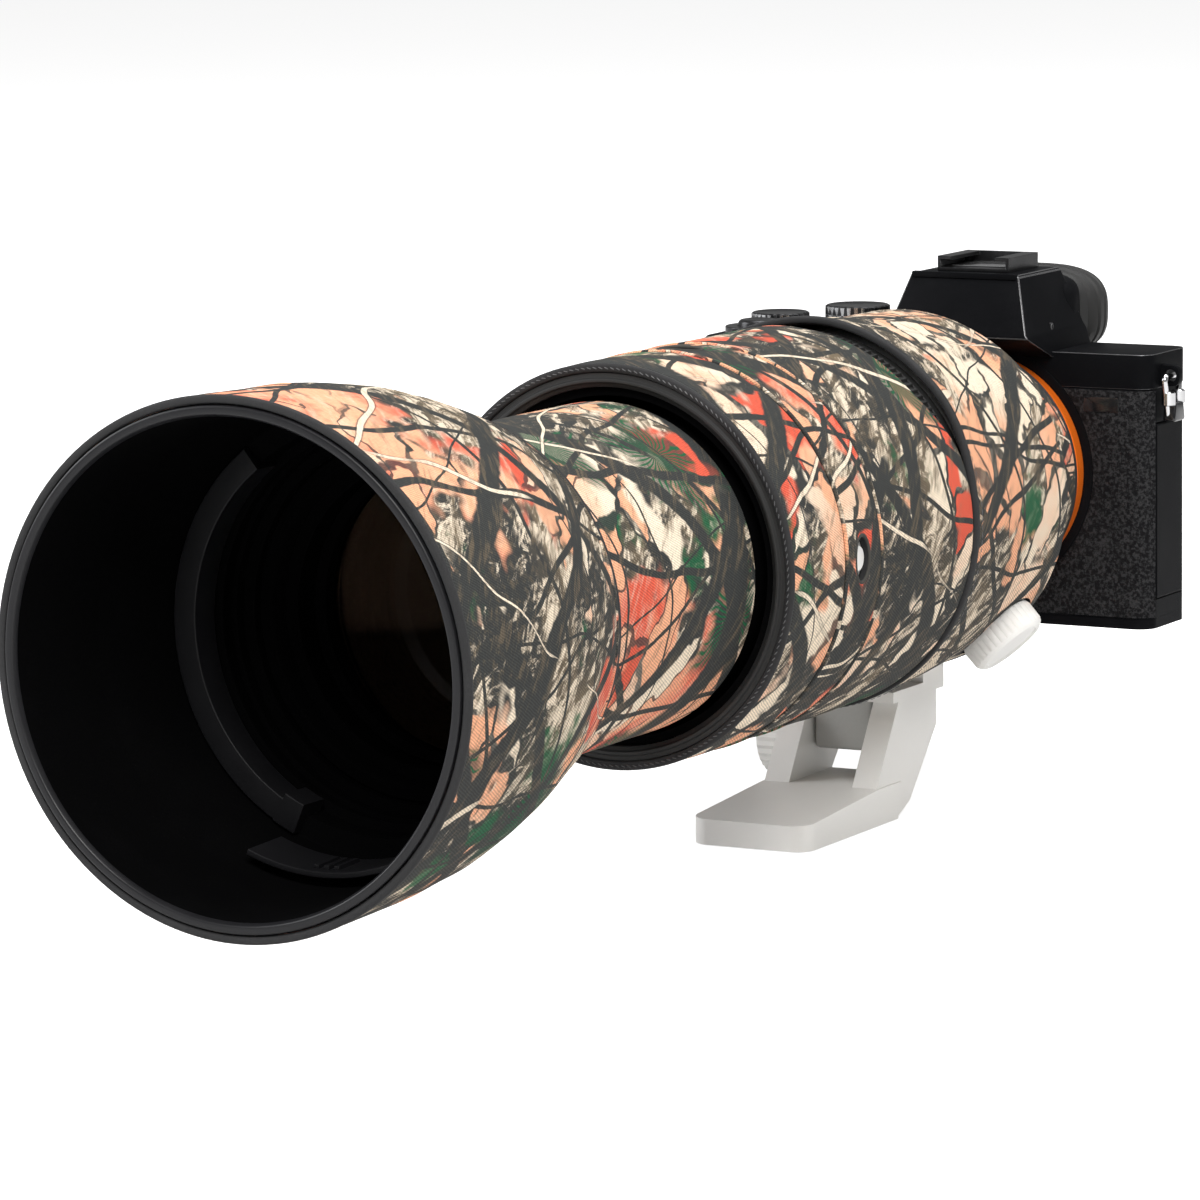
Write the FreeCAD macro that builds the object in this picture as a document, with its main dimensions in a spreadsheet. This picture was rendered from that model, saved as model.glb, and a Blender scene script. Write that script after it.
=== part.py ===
import FreeCAD, Part
import math
import os
import re
import Sketcher

# A mirrorless camera with a long extending zoom lens, its hood, its tripod collar and foot, and the
# padded cloth sleeves round the lens.  Lengths are in millimetres.
#
# Every sub-part is drawn in the mount's own axes: x to the right as seen from in front of the lens,
# y along the lens axis with the mount flange at zero and the hood at minus y, z up from the lens
# axis.  Each then gets the one Placement that puts the foot's tripod socket at the origin.

DIMENSIONS = {
    # Where the mount's axes stand over the tripod socket
    "axis_height": 80, "flange_back": 105,
    # Fits and walls
    "gap": 0.3, "running": 0.05, "sleeve_wall": 2.1, "case_wall": 2.5,
    # Zoom extension, drawn fully out
    "bore": 41.0, "tube_front": 199.0, "ring_inner": 43.0,
    # Hood: front rim, the points its side runs through, and the bayonet at its back
    "hood_front": 372.7, "hood_rim": 57.3, "hood_mid": 340.0, "hood_mid_r": 56.4,
    "hood_bend": 314.0, "hood_bend_r": 53.4, "hood_neck": 296.0, "hood_neck_r": 48.8,
    "hood_back": 283.0, "hood_back_r": 44.6, "hood_wall": 2.3, "hood_floor": 293.0,
    "baffle_front": 312.0, "baffle_r": 46.5,
    "window_front": 336.0, "window_back": 322.0, "window_wall": 1.5, "window_half": 22,
    "window_lap": 1.5, "window_side_lap": 3,
    # Extending barrel
    "barrel_r": 38.0, "barrel_inner": 36.0, "barrel_front": 284.0, "barrel_back": 152.0,
    "guide_length": 6.0, "guide_fit": 0.08, "barrel_sleeve_front": 281.5, "barrel_sleeve_back": 203.0,
    "filter_front": 292.0, "filter_r": 38.2, "filter_outer": 42.0, "filter_step": 2.0, "filter_skirt": 1.0,
    "front_glass": 272.0, "front_glass_back": 258.0, "front_glass_dome": 4.0,
    "second_glass": 250.0, "second_glass_back": 243.0, "lens_cell": 2.0, "cell_front": 274.0,
    # Rings on the fixed tube
    "zoom_front": 201.6, "zoom_back": 173.0, "band_front": 172.6, "band_back": 153.4,
    "ring_r": 46.6, "focus_front": 153.0, "focus_back": 100.6, "focus_step": 127.0,
    "grip_inner": 45.8, "focus_sleeve_back": 101.2, "sleeve_r": 48.8,
    "hold_r": 3.0, "hold_seat": 3.15, "hold_place": 164.0, "hold_low": 45.4, "hold_high": 47.6,
    "hold_floor": 44.6, "hold_hole_long": 5.6, "hold_hole_wide": 3.6,
    # Fixed rear barrel
    "rear_front": 100.0, "rear_r": 46.2, "rear_step": 78.0, "collar_front": 62.3, "collar_back": 39.7,
    "collar_seat": 42.0, "shoulder_r": 43.6, "shoulder_back": 38.0, "cone_back": 24.0,
    "cone_r": 33.0, "tail_r": 31.5, "tail_back": 3.0, "cavity_r": 38.9, "cavity_front": 75.0,
    "cavity_back": 38.0, "rear_bore": 26.0, "rear_bore_front": 30.0,
    "group_front": 70.0, "group_back": 64.0, "group_r": 34.0, "group_glass": 22.0,
    "steady_front": 57.0, "steady_back": 46.0, "steady_glass": 17.0,
    "iris_front": 43.0, "iris_back": 39.0, "iris_opening": 15.0,
    "rear_glass_front": 29.0, "rear_glass_back": 12.0, "rear_glass": 19.0,
    # Tripod collar, foot and their knobs
    "collar_r": 44.5, "collar_plate_half": 16.0, "collar_plate_front": 80.0,
    "collar_plate_back": 50.0, "collar_plate_top": 47.2, "foot_top": 50.0,
    "lock_angle": 47.2, "lock_place": 50.0, "lock_low": 44.9, "lock_high": 52.4, "lock_r": 10.6,
    "lock_stem": 3.0, "lock_chamfer": 0.8,
    "foot_half": 16.5, "foot_arm": 9.0, "foot_toe": 131.0, "foot_heel": 78.5, "toe_high": 6.5,
    "slope_back": 90.0, "slope_high": 9.4, "arm_front_top": 77.0, "arm_back": 54.5,
    "arm_back_low": 59.0, "arm_knee": 70.5, "arm_knee_low": 76.5, "toe_round": 5.0,
    "socket_r": 3.175, "socket_deep": 7.0,
    "block_half": 8.0, "block_front": 77.0, "block_back": 66.0, "block_low": 63.5,
    "clamp_place": 67.5, "clamp_low": 61.5, "clamp_r": 11.0, "clamp_stem": 2.6, "clamp_thick": 8.0,
    # Camera body, from the mount axis
    "body_right": 50.0, "body_left": 75.0, "body_front": 5.0, "body_split": 17.0, "body_back": 31.0,
    "body_low": 41.0, "base_top": 38.2, "seam": 22.7, "shoulder": 32.0, "corner": 5.0, "throat": 24.0,
    "hump_front": 8.0, "hump_lean": 6.0, "hump_low": 36.5, "hump_top": 52.6, "hump_half": 20.5,
    "hump_half_top": 15.4, "hump_back": 29.0, "hump_back_top": 24.0, "finder_half": 11.5,
    "finder_low": 31.6, "finder_high": 46.5, "finder_front": 7.5, "finder_back": 35.0,
    "eyecup_half": 21.0, "eyecup_high": 25.0, "eyecup_mid": 39.3, "eyecup_back": 46.0,
    "eyecup_hole_half": 13.0, "eyecup_hole_high": 17.0, "eyecup_round": 11.0, "eyecup_hole_round": 4.0,
    "grip_left": 78.0, "grip_right": 49.0, "grip_front": 15.0, "grip_top": 30.0, "grip_round": 8.0,
    "deck_left": 76.0, "deck_right": 49.5, "deck_front": 12.0, "deck_top": 34.0, "deck_round": 6.0,
    # Battery and doors
    "battery_left": 72.0, "battery_wide": 18.5, "battery_front": 9.5, "battery_deep": 31.8,
    "battery_tall": 45.0,
    "well": 0.6, "well_top": 9.0, "button_fit": 0.2, "door_left": 73.5, "door_right": 51.5,
    "door_front": 9.8, "door_back": 24.5,
    "port_front": 9.0, "port_back": 26.0, "port_low": 33.0, "port_high": 13.5, "port_deep": 1.2,
    "port_proud": 0.5, "card_front": 9.0, "card_back": 27.5, "card_low": 26.0, "card_high": 12.0,
    # Mount parts of the body
    "mount_inner": 23.1, "mount_r": 29.0, "trim_r": 31.2, "bayonet_r": 22.9, "bayonet_inner": 21.0,
    "bayonet_back": 6.0, "flange_r": 29.0,
    "release_x": -37.0, "release_z": 12.0, "release_r": 4.6, "release_proud": 2.4,
    # Screen, on its bracket in a recess of the back
    "screen_left": 29.0, "screen_right": 45.0, "screen_low": 34.0, "screen_high": 15.5,
    "recess_floor": 26.9, "recess_edge": 0.8, "bracket_thick": 1.3, "bracket_side": 1.0,
    "screen_front": 28.8, "screen_back": 34.4, "recess_plate": 2.0,
    "ear_in": 9.0, "ear_wide": 6.0, "ear_half": 1.4, "notch_deep": 3.3, "hinge_in": 1.4,
    "hinge_drop": 1.3, "screen_round": 2.0,
    # Imaging parts in the body
    "shutter_front": 9.5, "shutter_back": 15.0, "shutter_half": 25.0, "shutter_high": 18.5,
    "gate_half": 18.2, "gate_high": 12.4, "sensor_front": 18.0, "sensor_back": 22.0,
    "sensor_half": 21.0, "sensor_high": 15.5, "board_front": 22.8, "board_back": 24.2,
    "board_left": 44.0, "board_right": 46.0, "board_low": 35.0, "board_high": 20.0,
    # Dials, buttons and rings on the body
    "mode_x": 40.0, "mode_y": 15.0, "mode_r": 8.8, "mode_top": 41.5,
    "stem_r": 2.15, "stem_seat": 2.2, "dial_chamfer": 0.6,
    "exposure_x": 66.5, "exposure_y": 21.0, "exposure_r": 8.0, "exposure_top": 38.0,
    "shutter_x": 61.5, "shutter_y": 2.0, "lever_r": 9.0, "lever_top": 36.6, "button_r": 5.6,
    "button_top": 38.4, "button_well": 31.5, "button_round": 1.0, "lever_tab": 12.0, "lever_tab_half": 2.0,
    "front_dial_x": 61.5, "front_dial_y": 11.5, "front_dial_z": 22.3, "front_dial_r": 7.0,
    "front_dial_half": 4.0, "front_slot": 0.5,
    "rear_dial_x": 61.5, "rear_dial_y": 27.0, "rear_dial_r": 8.0, "rear_dial_low": 24.5,
    "rear_dial_high": 28.5, "wheel_x": 52.5, "wheel_z": 10.0, "wheel_r": 10.0, "wheel_hub": 4.2,
    "wheel_proud": 2.2, "rear_button_r": 2.9, "rear_button_proud": 1.0, "rear_button_seat": 0.9,
    "lug_y": 14.0, "lug_z": 26.0, "lug_reach": 5.2, "lug_half": 1.3, "lug_eye": 1.7, "lug_out": 2.6,
    "ring_wire": 0.85, "ring_half": 5.4, "ring_drop": 10.5, "ring_tip": 2.6,
    "ring_bend": 1.2,
    # Accessory shoe
    "shoe_half": 10.4, "shoe_slot": 9.4, "shoe_lip": 6.4, "shoe_front": 3.0, "shoe_back": 22.0,
    "shoe_floor": 1.0, "shoe_rise": 3.0, "shoe_top": 4.0,
}

doc = FreeCAD.newDocument("camera_with_zoom_lens")
sheet = doc.addObject("Spreadsheet::Sheet", "Sizes")
for row, (alias, value) in enumerate(DIMENSIONS.items(), start=1):
    sheet.set(f"A{row}", alias)
    sheet.set(f"B{row}", str(value))
    sheet.setAlias(f"B{row}", alias)
doc.recompute()

LENS_PLACE = FreeCAD.Placement(
    FreeCAD.Vector(0, sheet.flange_back, sheet.axis_height), FreeCAD.Rotation())
SUBPARTS = []
# Where the buttons on the back stand, as x and z
REAR_BUTTONS = [("-36.5", "13.0"), ("-45.0", "8.0"), ("-59.0", "9.0"), ("-66.0", "-2.0"),
                ("-62.5", "-24.5"), ("-46.0", "-27.0")]
HOLD_BUTTON_ANGLES = {"hold_button_side": 0, "hold_button_top": 90, "hold_button_far": 180}


def bound(text):
    """An expression in the sheet's names, written for setExpression."""
    return re.sub(r"\b([A-Za-z_]\w*)", r"Sizes.\1", text)


def number(text):
    """The value of such an expression now."""
    return float(sheet.evalExpression(bound(text)))


def bind(thing, **expressions):
    """Bind properties of an object to the sheet; a double underscore stands for a dot."""
    for key, text in expressions.items():
        thing.setExpression(key.replace("__", "."), bound(text))
    return thing


def keep(thing, name):
    """Finish a sub-part: its label names its file, and its Placement puts it over the socket."""
    if any(path.lstrip(".").startswith("Placement") for path, _ in thing.ExpressionEngine):
        # A primitive already placed by the sheet sits in a compound, which takes the Placement
        placed = doc.addObject("Part::Compound", name + "_placed")
        placed.Links = [thing]
        thing = placed
    thing.Label = name
    thing.Placement = LENS_PLACE.multiply(thing.Placement)
    SUBPARTS.append(thing)
    return thing


def origin_plane(body, role):
    return [item for item in body.Origin.OriginFeatures if item.Role == role][0]


def outline_sketch(body, name, role, points):
    """A closed outline of straight lines on one of the body's planes, every corner bound."""
    sketch = body.newObject("Sketcher::SketchObject", name)
    sketch.AttachmentSupport = [(origin_plane(body, role), "")]
    sketch.MapMode = "FlatFace"
    corners = [FreeCAD.Vector(number(x), number(y), 0) for x, y in points]
    count = len(corners)
    sketch.addGeometry(
        [Part.LineSegment(corners[i], corners[(i + 1) % count]) for i in range(count)], False)
    sketch.addConstraint(
        [Sketcher.Constraint("Coincident", i, 2, (i + 1) % count, 1) for i in range(count)])
    for i, (x, y) in enumerate(points):
        for kind, text, value in (("DistanceX", x, corners[i].x), ("DistanceY", y, corners[i].y)):
            index = sketch.addConstraint(Sketcher.Constraint(kind, -1, 1, i, 1, value))
            sketch.setExpression(f"Constraints[{index}]", bound(text))
    return sketch


def turned_body(name, outline, angle=360):
    """A solid turned about the lens axis from (radius, y) corners."""
    body = doc.addObject("PartDesign::Body", name)
    sketch = outline_sketch(body, name + "_outline", "XY_Plane", outline)
    turn = body.newObject("PartDesign::Revolution", name + "_turn")
    turn.Profile = sketch
    turn.ReferenceAxis = (sketch, ["V_Axis"])
    turn.Angle = angle
    return body


def padded_body(name, role, outline, thickness, midplane=True):
    """A prism from an outline on a plane of the body, centred on it unless told otherwise."""
    body = doc.addObject("PartDesign::Body", name)
    sketch = outline_sketch(body, name + "_outline", role, outline)
    pad = body.newObject("PartDesign::Pad", name + "_pad")
    pad.Profile = sketch
    pad.Midplane = midplane
    bind(pad, Length=thickness)
    return body


def box(name, low_x, high_x, low_y, high_y, low_z, high_z):
    item = doc.addObject("Part::Box", name)
    return bind(
        item, Length=f"({high_x}) - ({low_x})", Width=f"({high_y}) - ({low_y})",
        Height=f"({high_z}) - ({low_z})", Placement__Base__x=low_x, Placement__Base__y=low_y,
        Placement__Base__z=low_z)


AXIS_TURNS = {
    "x": FreeCAD.Rotation(FreeCAD.Vector(0, 1, 0), 90),
    "y": FreeCAD.Rotation(FreeCAD.Vector(1, 0, 0), -90),
    "z": FreeCAD.Rotation(),
}


def rod(name, axis, radius, start, end, across, up):
    """A cylinder along an axis from start to end; across and up place its centre line."""
    item = doc.addObject("Part::Cylinder", name)
    item.Placement = FreeCAD.Placement(FreeCAD.Vector(), AXIS_TURNS[axis])
    places = {"x": (start, across, up), "y": (across, start, up), "z": (across, up, start)}[axis]
    return bind(
        item, Radius=radius, Height=f"({end}) - ({start})", Placement__Base__x=places[0],
        Placement__Base__y=places[1], Placement__Base__z=places[2])


def radial_rod(name, radius, start, end, along, angle):
    """A cylinder standing out from the lens axis at an angle, in degrees from x towards z."""
    item = doc.addObject("Part::Cylinder", name)
    direction = FreeCAD.Vector(math.cos(math.radians(angle)), 0, math.sin(math.radians(angle)))
    item.Placement = FreeCAD.Placement(
        FreeCAD.Vector(), FreeCAD.Rotation(FreeCAD.Vector(0, 0, 1), direction))
    return bind(
        item, Radius=radius, Height=f"({end}) - ({start})",
        Placement__Base__x=f"({start}) * {direction.x:.9f}", Placement__Base__y=along,
        Placement__Base__z=f"({start}) * {direction.z:.9f}")


def fused(name, *items):
    item = doc.addObject("Part::MultiFuse", name)
    item.Shapes = list(items)
    item.Refine = True
    return item


def cut(name, base, *tools):
    tool = tools[0] if len(tools) == 1 else fused(name + "_tools", *tools)
    item = doc.addObject("Part::Cut", name)
    item.Base = base
    item.Tool = tool
    return item


def softened(name, base, radius, chosen, kind="Part::Fillet"):
    """Round or chamfer the edges of base that chosen(edge) picks."""
    doc.recompute()
    size = number(radius)
    item = doc.addObject(kind, name)
    item.Base = base
    item.Edges = [(i, size, size) for i, edge in enumerate(base.Shape.Edges, 1) if chosen(edge)]
    return item


def runs_along(axis, edge):
    """True for a straight edge along an axis."""
    if edge.Curve.TypeId != "Part::GeomLine":
        return False
    return abs(getattr(edge.tangentAt(edge.FirstParameter), axis)) > 0.999


def upright(edge):
    return runs_along("z", edge)


def runs_along_y(edge):
    return runs_along("y", edge)


def rim_at(axis, place):
    """A test for circular edges whose centre is at a place along an axis."""
    def chosen(edge):
        if edge.Curve.TypeId != "Part::GeomCircle":
            return False
        return abs(getattr(edge.Curve.Center, axis) - place) < 1e-3
    return chosen


def tube(inner, outer, front, back):
    """Corners of a plain ring between two distances in front of the flange."""
    return [(inner, f"-{front}"), (outer, f"-{front}"), (outer, f"-{back}"), (inner, f"-{back}")]


def hood_side(offset):
    """The hood's side from its front rim back to its neck, moved out by an offset."""
    names = [("hood_rim", "hood_front"), ("hood_mid_r", "hood_mid"), ("hood_bend_r", "hood_bend"),
             ("hood_neck_r", "hood_neck")]
    return [(f"{radius} + {offset}", f"-{place}") for radius, place in names]


# ---------------------------------------------------------------- hood
def make_hood():
    inner = [(f"{r} - hood_wall", y) for r, y in
             (("hood_rim", "-hood_front"), ("hood_mid_r", "-hood_mid"), ("hood_bend_r", "-hood_bend"))]
    baffle = [("baffle_r", "-baffle_front"), ("baffle_r", "-hood_floor"),
              ("filter_outer + running", "-hood_floor"), ("filter_outer + running", "-hood_back")]
    outer = [("hood_back_r", "-hood_back"), ("hood_neck_r", "-hood_neck"),
             ("hood_bend_r", "-hood_bend"), ("hood_mid_r", "-hood_mid"), ("hood_rim", "-hood_front")]
    shell = turned_body("hood_shell", inner + baffle + outer)
    slot = turned_body("hood_slot", [
        ("baffle_r", "-(window_front - window_lap)"), ("sleeve_r + 12", "-(window_front - window_lap)"),
        ("sleeve_r + 12", "-(window_back + window_lap)"), ("baffle_r", "-(window_back + window_lap)")])
    slot.Tip.Angle = 2 * number("window_half - window_side_lap")
    slot.Tip.Midplane = True
    slot.Placement = FreeCAD.Placement(
        FreeCAD.Vector(), FreeCAD.Rotation(FreeCAD.Vector(0, 1, 0), 90))
    keep(cut("lens_hood_cut", shell, slot), "lens_hood")

    # Filter window: a curved panel that turns along the inside of the hood's lowest part
    slope = "(hood_mid_r - hood_bend_r) / (hood_mid - hood_bend)"
    at_front = f"hood_bend_r + {slope} * (window_front - hood_bend) - hood_wall - gap"
    at_back = f"hood_bend_r + {slope} * (window_back - hood_bend) - hood_wall - gap"
    panel = turned_body("window_panel", [
        (f"{at_front} - window_wall", "-window_front"), (at_front, "-window_front"),
        (at_back, "-window_back"), (f"{at_back} - window_wall", "-window_back")])
    panel.Tip.Angle = 2 * number("window_half")
    panel.Tip.Midplane = True
    panel.Placement = FreeCAD.Placement(
        FreeCAD.Vector(), FreeCAD.Rotation(FreeCAD.Vector(0, 1, 0), 90))
    keep(panel, "hood_window")

    sleeve = hood_side("0") + [("hood_back_r", "-hood_back")]
    sleeve += [("hood_back_r + sleeve_wall", "-hood_back")] + hood_side("sleeve_wall")[::-1]
    keep(turned_body("hood_cloth", sleeve), "hood_sleeve")


# ---------------------------------------------------------------- extending barrel
def make_extending_barrel():
    keep(turned_body("extending_tube", [
        ("barrel_inner", "-barrel_front"), ("barrel_r", "-barrel_front"),
        ("barrel_r", "-(barrel_back + guide_length)"),
        ("bore - guide_fit", "-(barrel_back + guide_length)"), ("bore - guide_fit", "-barrel_back"),
        ("barrel_inner", "-barrel_back")]), "inner_barrel")
    keep(turned_body("extending_cloth", tube(
        "barrel_r", "barrel_r + sleeve_wall", "barrel_sleeve_front", "barrel_sleeve_back")),
        "inner_barrel_sleeve")
    keep(turned_body("thread_ring", [
        ("filter_r", "-filter_front"), ("filter_outer", "-filter_front"),
        ("filter_outer", "-(barrel_front - filter_skirt)"), ("barrel_r", "-(barrel_front - filter_skirt)"),
        ("barrel_r", "-barrel_front"), ("barrel_inner - filter_skirt", "-barrel_front"),
        ("barrel_inner - filter_skirt", "-(barrel_front + filter_step)"),
        ("filter_r", "-(barrel_front + filter_step)")]), "filter_ring")

    # Front group: a domed element and a thinner one, held in one cell
    domed = turned_body("front_element", [
        ("0", "-(front_glass + front_glass_dome)"), ("0.5 * barrel_inner", "-(front_glass + 3)"),
        ("0.8 * barrel_inner", "-(front_glass + 1.4)"),
        ("barrel_inner - lens_cell", "-front_glass"),
        ("barrel_inner - lens_cell", "-front_glass_back"), ("0", "-(front_glass_back + 3)")])
    second = turned_body("second_element", [
        ("0", "-(second_glass - 1)"), ("barrel_inner - lens_cell", "-second_glass"),
        ("barrel_inner - lens_cell", "-second_glass_back"), ("0", "-(second_glass_back - 1)")])
    cell = turned_body("front_cell", tube(
        "barrel_inner - lens_cell", "barrel_inner", "cell_front", "second_glass_back"))
    keep(fused("front_group_fuse", domed, second, cell), "front_lens_group")


# ---------------------------------------------------------------- fixed barrel and its rings
def make_rings():
    keep(turned_body("fixed_tube", tube("bore", "ring_inner - running", "tube_front", "rear_front")),
         "guide_tube")
    keep(turned_body("zoom_sleeve_ring", tube("ring_inner", "ring_r", "zoom_front", "zoom_back")),
         "zoom_ring")
    keep(turned_body("zoom_cloth", tube("ring_r", "sleeve_r", "zoom_front", "zoom_back")),
         "zoom_ring_sleeve")
    keep(turned_body("focus_turned", [
        ("ring_inner", "-focus_front"), ("ring_r", "-focus_front"), ("ring_r", "-focus_step"),
        ("grip_inner", "-focus_step"), ("grip_inner", "-focus_back"),
        ("ring_inner", "-focus_back")]), "focus_ring")
    keep(turned_body("focus_rubber", tube("grip_inner", "ring_r", "focus_step", "focus_back")),
         "focus_grip")
    keep(turned_body("focus_cloth", tube(
        "ring_r", "sleeve_r", "focus_front", "focus_sleeve_back")), "focus_ring_sleeve")

    band = turned_body("band_turned", tube("ring_inner - running", "ring_r", "band_front", "band_back"))
    seats = [radial_rod(f"{name}_seat", "hold_seat", "hold_floor", "sleeve_r", "-hold_place", angle)
             for name, angle in HOLD_BUTTON_ANGLES.items()]
    keep(cut("band_cut", band, *seats), "button_band")
    cloth = turned_body("band_cloth", tube("ring_r", "sleeve_r", "band_front", "band_back"))
    holes = []
    for name, angle in HOLD_BUTTON_ANGLES.items():
        cosine, sine = math.cos(math.radians(angle)), math.sin(math.radians(angle))
        for side in (-1, 1):
            hole = radial_rod(f"{name}_hole_{side}", "hold_hole_wide", "ring_inner",
                              "sleeve_r + 3", "-hold_place", angle)
            shift = f"{side} * (hold_hole_long - hold_hole_wide)"
            bind(hole, Placement__Base__x=f"ring_inner * {cosine:.6f} - {sine:.6f} * {shift}",
                 Placement__Base__z=f"ring_inner * {sine:.6f} + {cosine:.6f} * {shift}")
            holes.append(hole)
    keep(cut("band_cloth_cut", cloth, *holes), "button_band_sleeve")
    for name, angle in HOLD_BUTTON_ANGLES.items():
        keep(radial_rod(name + "_rod", "hold_r", "hold_low", "hold_high", "-hold_place", angle), name)


def make_rear_barrel():
    outer = [("rear_r", "-rear_front"), ("rear_r", "-rear_step"),
             ("shoulder_r", "-(collar_front + gap)"), ("collar_seat", "-(collar_front + gap)"),
             ("collar_seat", "-(collar_back - gap)"), ("shoulder_r", "-(collar_back - gap)"),
             ("shoulder_r", "-shoulder_back"), ("cone_r", "-cone_back"), ("tail_r", "-tail_back - 9"),
             ("tail_r", "-tail_back")]
    inner = [("rear_bore", "-tail_back"), ("rear_bore", "-rear_bore_front"),
             ("cavity_r - 2", "-cavity_back"), ("cavity_r", "-cavity_back"),
             ("cavity_r", "-cavity_front"), ("bore", "-cavity_front"), ("bore", "-rear_front")]
    keep(turned_body("rear_turned", outer + inner), "rear_barrel")
    keep(turned_body("bayonet_turned", [
        ("bayonet_inner", "-tail_back"), ("flange_r", "-tail_back"), ("flange_r", "0"),
        ("bayonet_r", "0"), ("bayonet_r", "bayonet_back"), ("bayonet_inner", "bayonet_back")]),
        "lens_bayonet")

    # Cloth round the rear barrel and the collar, open at the foot and at the lock knob
    cloth = turned_body("rear_cloth", [
        ("rear_r + 0.4", "-(rear_front - gap)"), ("sleeve_r", "-(rear_front - gap)"),
        ("sleeve_r - 0.6", "-rear_step"), ("collar_r + sleeve_wall", "-collar_front"),
        ("collar_r + sleeve_wall", "-collar_back"), ("shoulder_r + 1.8", "-shoulder_back"),
        ("cone_r + 2.6", "-cone_back"), ("tail_r + 2.4", "-tail_back - 9"),
        ("tail_r + 0.4", "-tail_back - 9"), ("cone_r + 0.6", "-cone_back"),
        ("shoulder_r + 0.4", "-shoulder_back"), ("collar_r", "-collar_back"),
        ("collar_r", "-collar_front"), ("rear_r + 0.4", "-rear_step")])
    foot_gap = box("foot_gap", "-(collar_plate_half + gap)", "collar_plate_half + gap",
                   "-(collar_plate_front + 2)", "-(collar_plate_back - 2)", "-foot_top - 6",
                   "-ring_inner + 3")
    knob_gap = radial_rod("knob_gap", "lock_r + 0.4", "collar_seat", "lock_high + 2",
                          "-lock_place", -number("lock_angle"))
    keep(cut("rear_cloth_cut", cloth, foot_gap, knob_gap), "rear_sleeve")


def make_inner_optics():
    keep(turned_body("rear_group_turned", [
        ("0", "-rear_glass_front"), ("rear_glass", "-(rear_glass_front - 2)"),
        ("rear_glass", "-rear_glass_front"), ("rear_bore", "-rear_glass_front"),
        ("rear_bore", "-rear_glass_back"), ("rear_glass", "-rear_glass_back"),
        ("0", "-(rear_glass_back + 4)")]), "rear_lens_group")
    keep(turned_body("steady_turned", [
        ("0", "-(steady_front - 3)"), ("steady_glass", "-(steady_front - 5)"),
        ("steady_glass", "-steady_front"), ("cavity_r", "-steady_front"),
        ("cavity_r", "-steady_back"), ("steady_glass", "-steady_back"),
        ("steady_glass", "-(steady_back + 3)"), ("0", "-(steady_back + 4)")]), "stabiliser_unit")
    keep(turned_body("iris_turned", tube("iris_opening", "cavity_r", "iris_front", "iris_back")),
         "aperture_unit")
    keep(turned_body("focus_group_turned", [
        ("0", "-(group_front + 1)"), ("group_glass", "-(group_front - 1)"),
        ("group_glass", "-group_front"), ("group_r", "-group_front"), ("group_r", "-group_back"),
        ("group_glass", "-group_back"), ("0", "-(group_back + 2)")]), "focus_lens_group")


# ---------------------------------------------------------------- collar and foot
def make_collar():
    ring = turned_body("collar_turned", tube(
        "collar_seat + running", "collar_r", "collar_front", "collar_back"))
    plate = box("collar_plate", "-collar_plate_half", "collar_plate_half", "-collar_plate_front",
                "-collar_plate_back", "-foot_top", "-collar_plate_top")
    web = box("collar_web", "-collar_plate_half", "collar_plate_half", "-collar_front",
              "-collar_plate_back", "-foot_top", "-(collar_seat - 6)")
    swept = turned_body("collar_clearance", tube(
        "1", "collar_seat + running", "rear_front", "collar_back"))
    raised = fused("collar_fuse", ring, plate, web)
    stem = radial_rod("lock_stem_hole", "lock_stem + running", "collar_seat", "lock_high",
                      "-lock_place", -number("lock_angle"))
    keep(cut("collar_cut", raised, swept, stem), "collar_ring")

    knob = radial_rod("lock_body", "lock_r", "lock_low", "lock_high", "-lock_place",
                      -number("lock_angle"))
    shaft = radial_rod("lock_shaft", "lock_stem", "collar_seat + 1", "lock_low + 1",
                       "-lock_place", -number("lock_angle"))
    joined = fused("lock_fuse", knob, shaft)
    edge_at = number("lock_high")

    def outer_rim(edge):
        if edge.Curve.TypeId != "Part::GeomCircle":
            return False
        middle = edge.Curve.Center
        return abs(math.hypot(middle.x, middle.z) - edge_at) < 1e-3
    keep(softened("lock_edge", joined, "lock_chamfer", outer_rim, "Part::Chamfer"),
         "collar_lock_knob")


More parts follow.
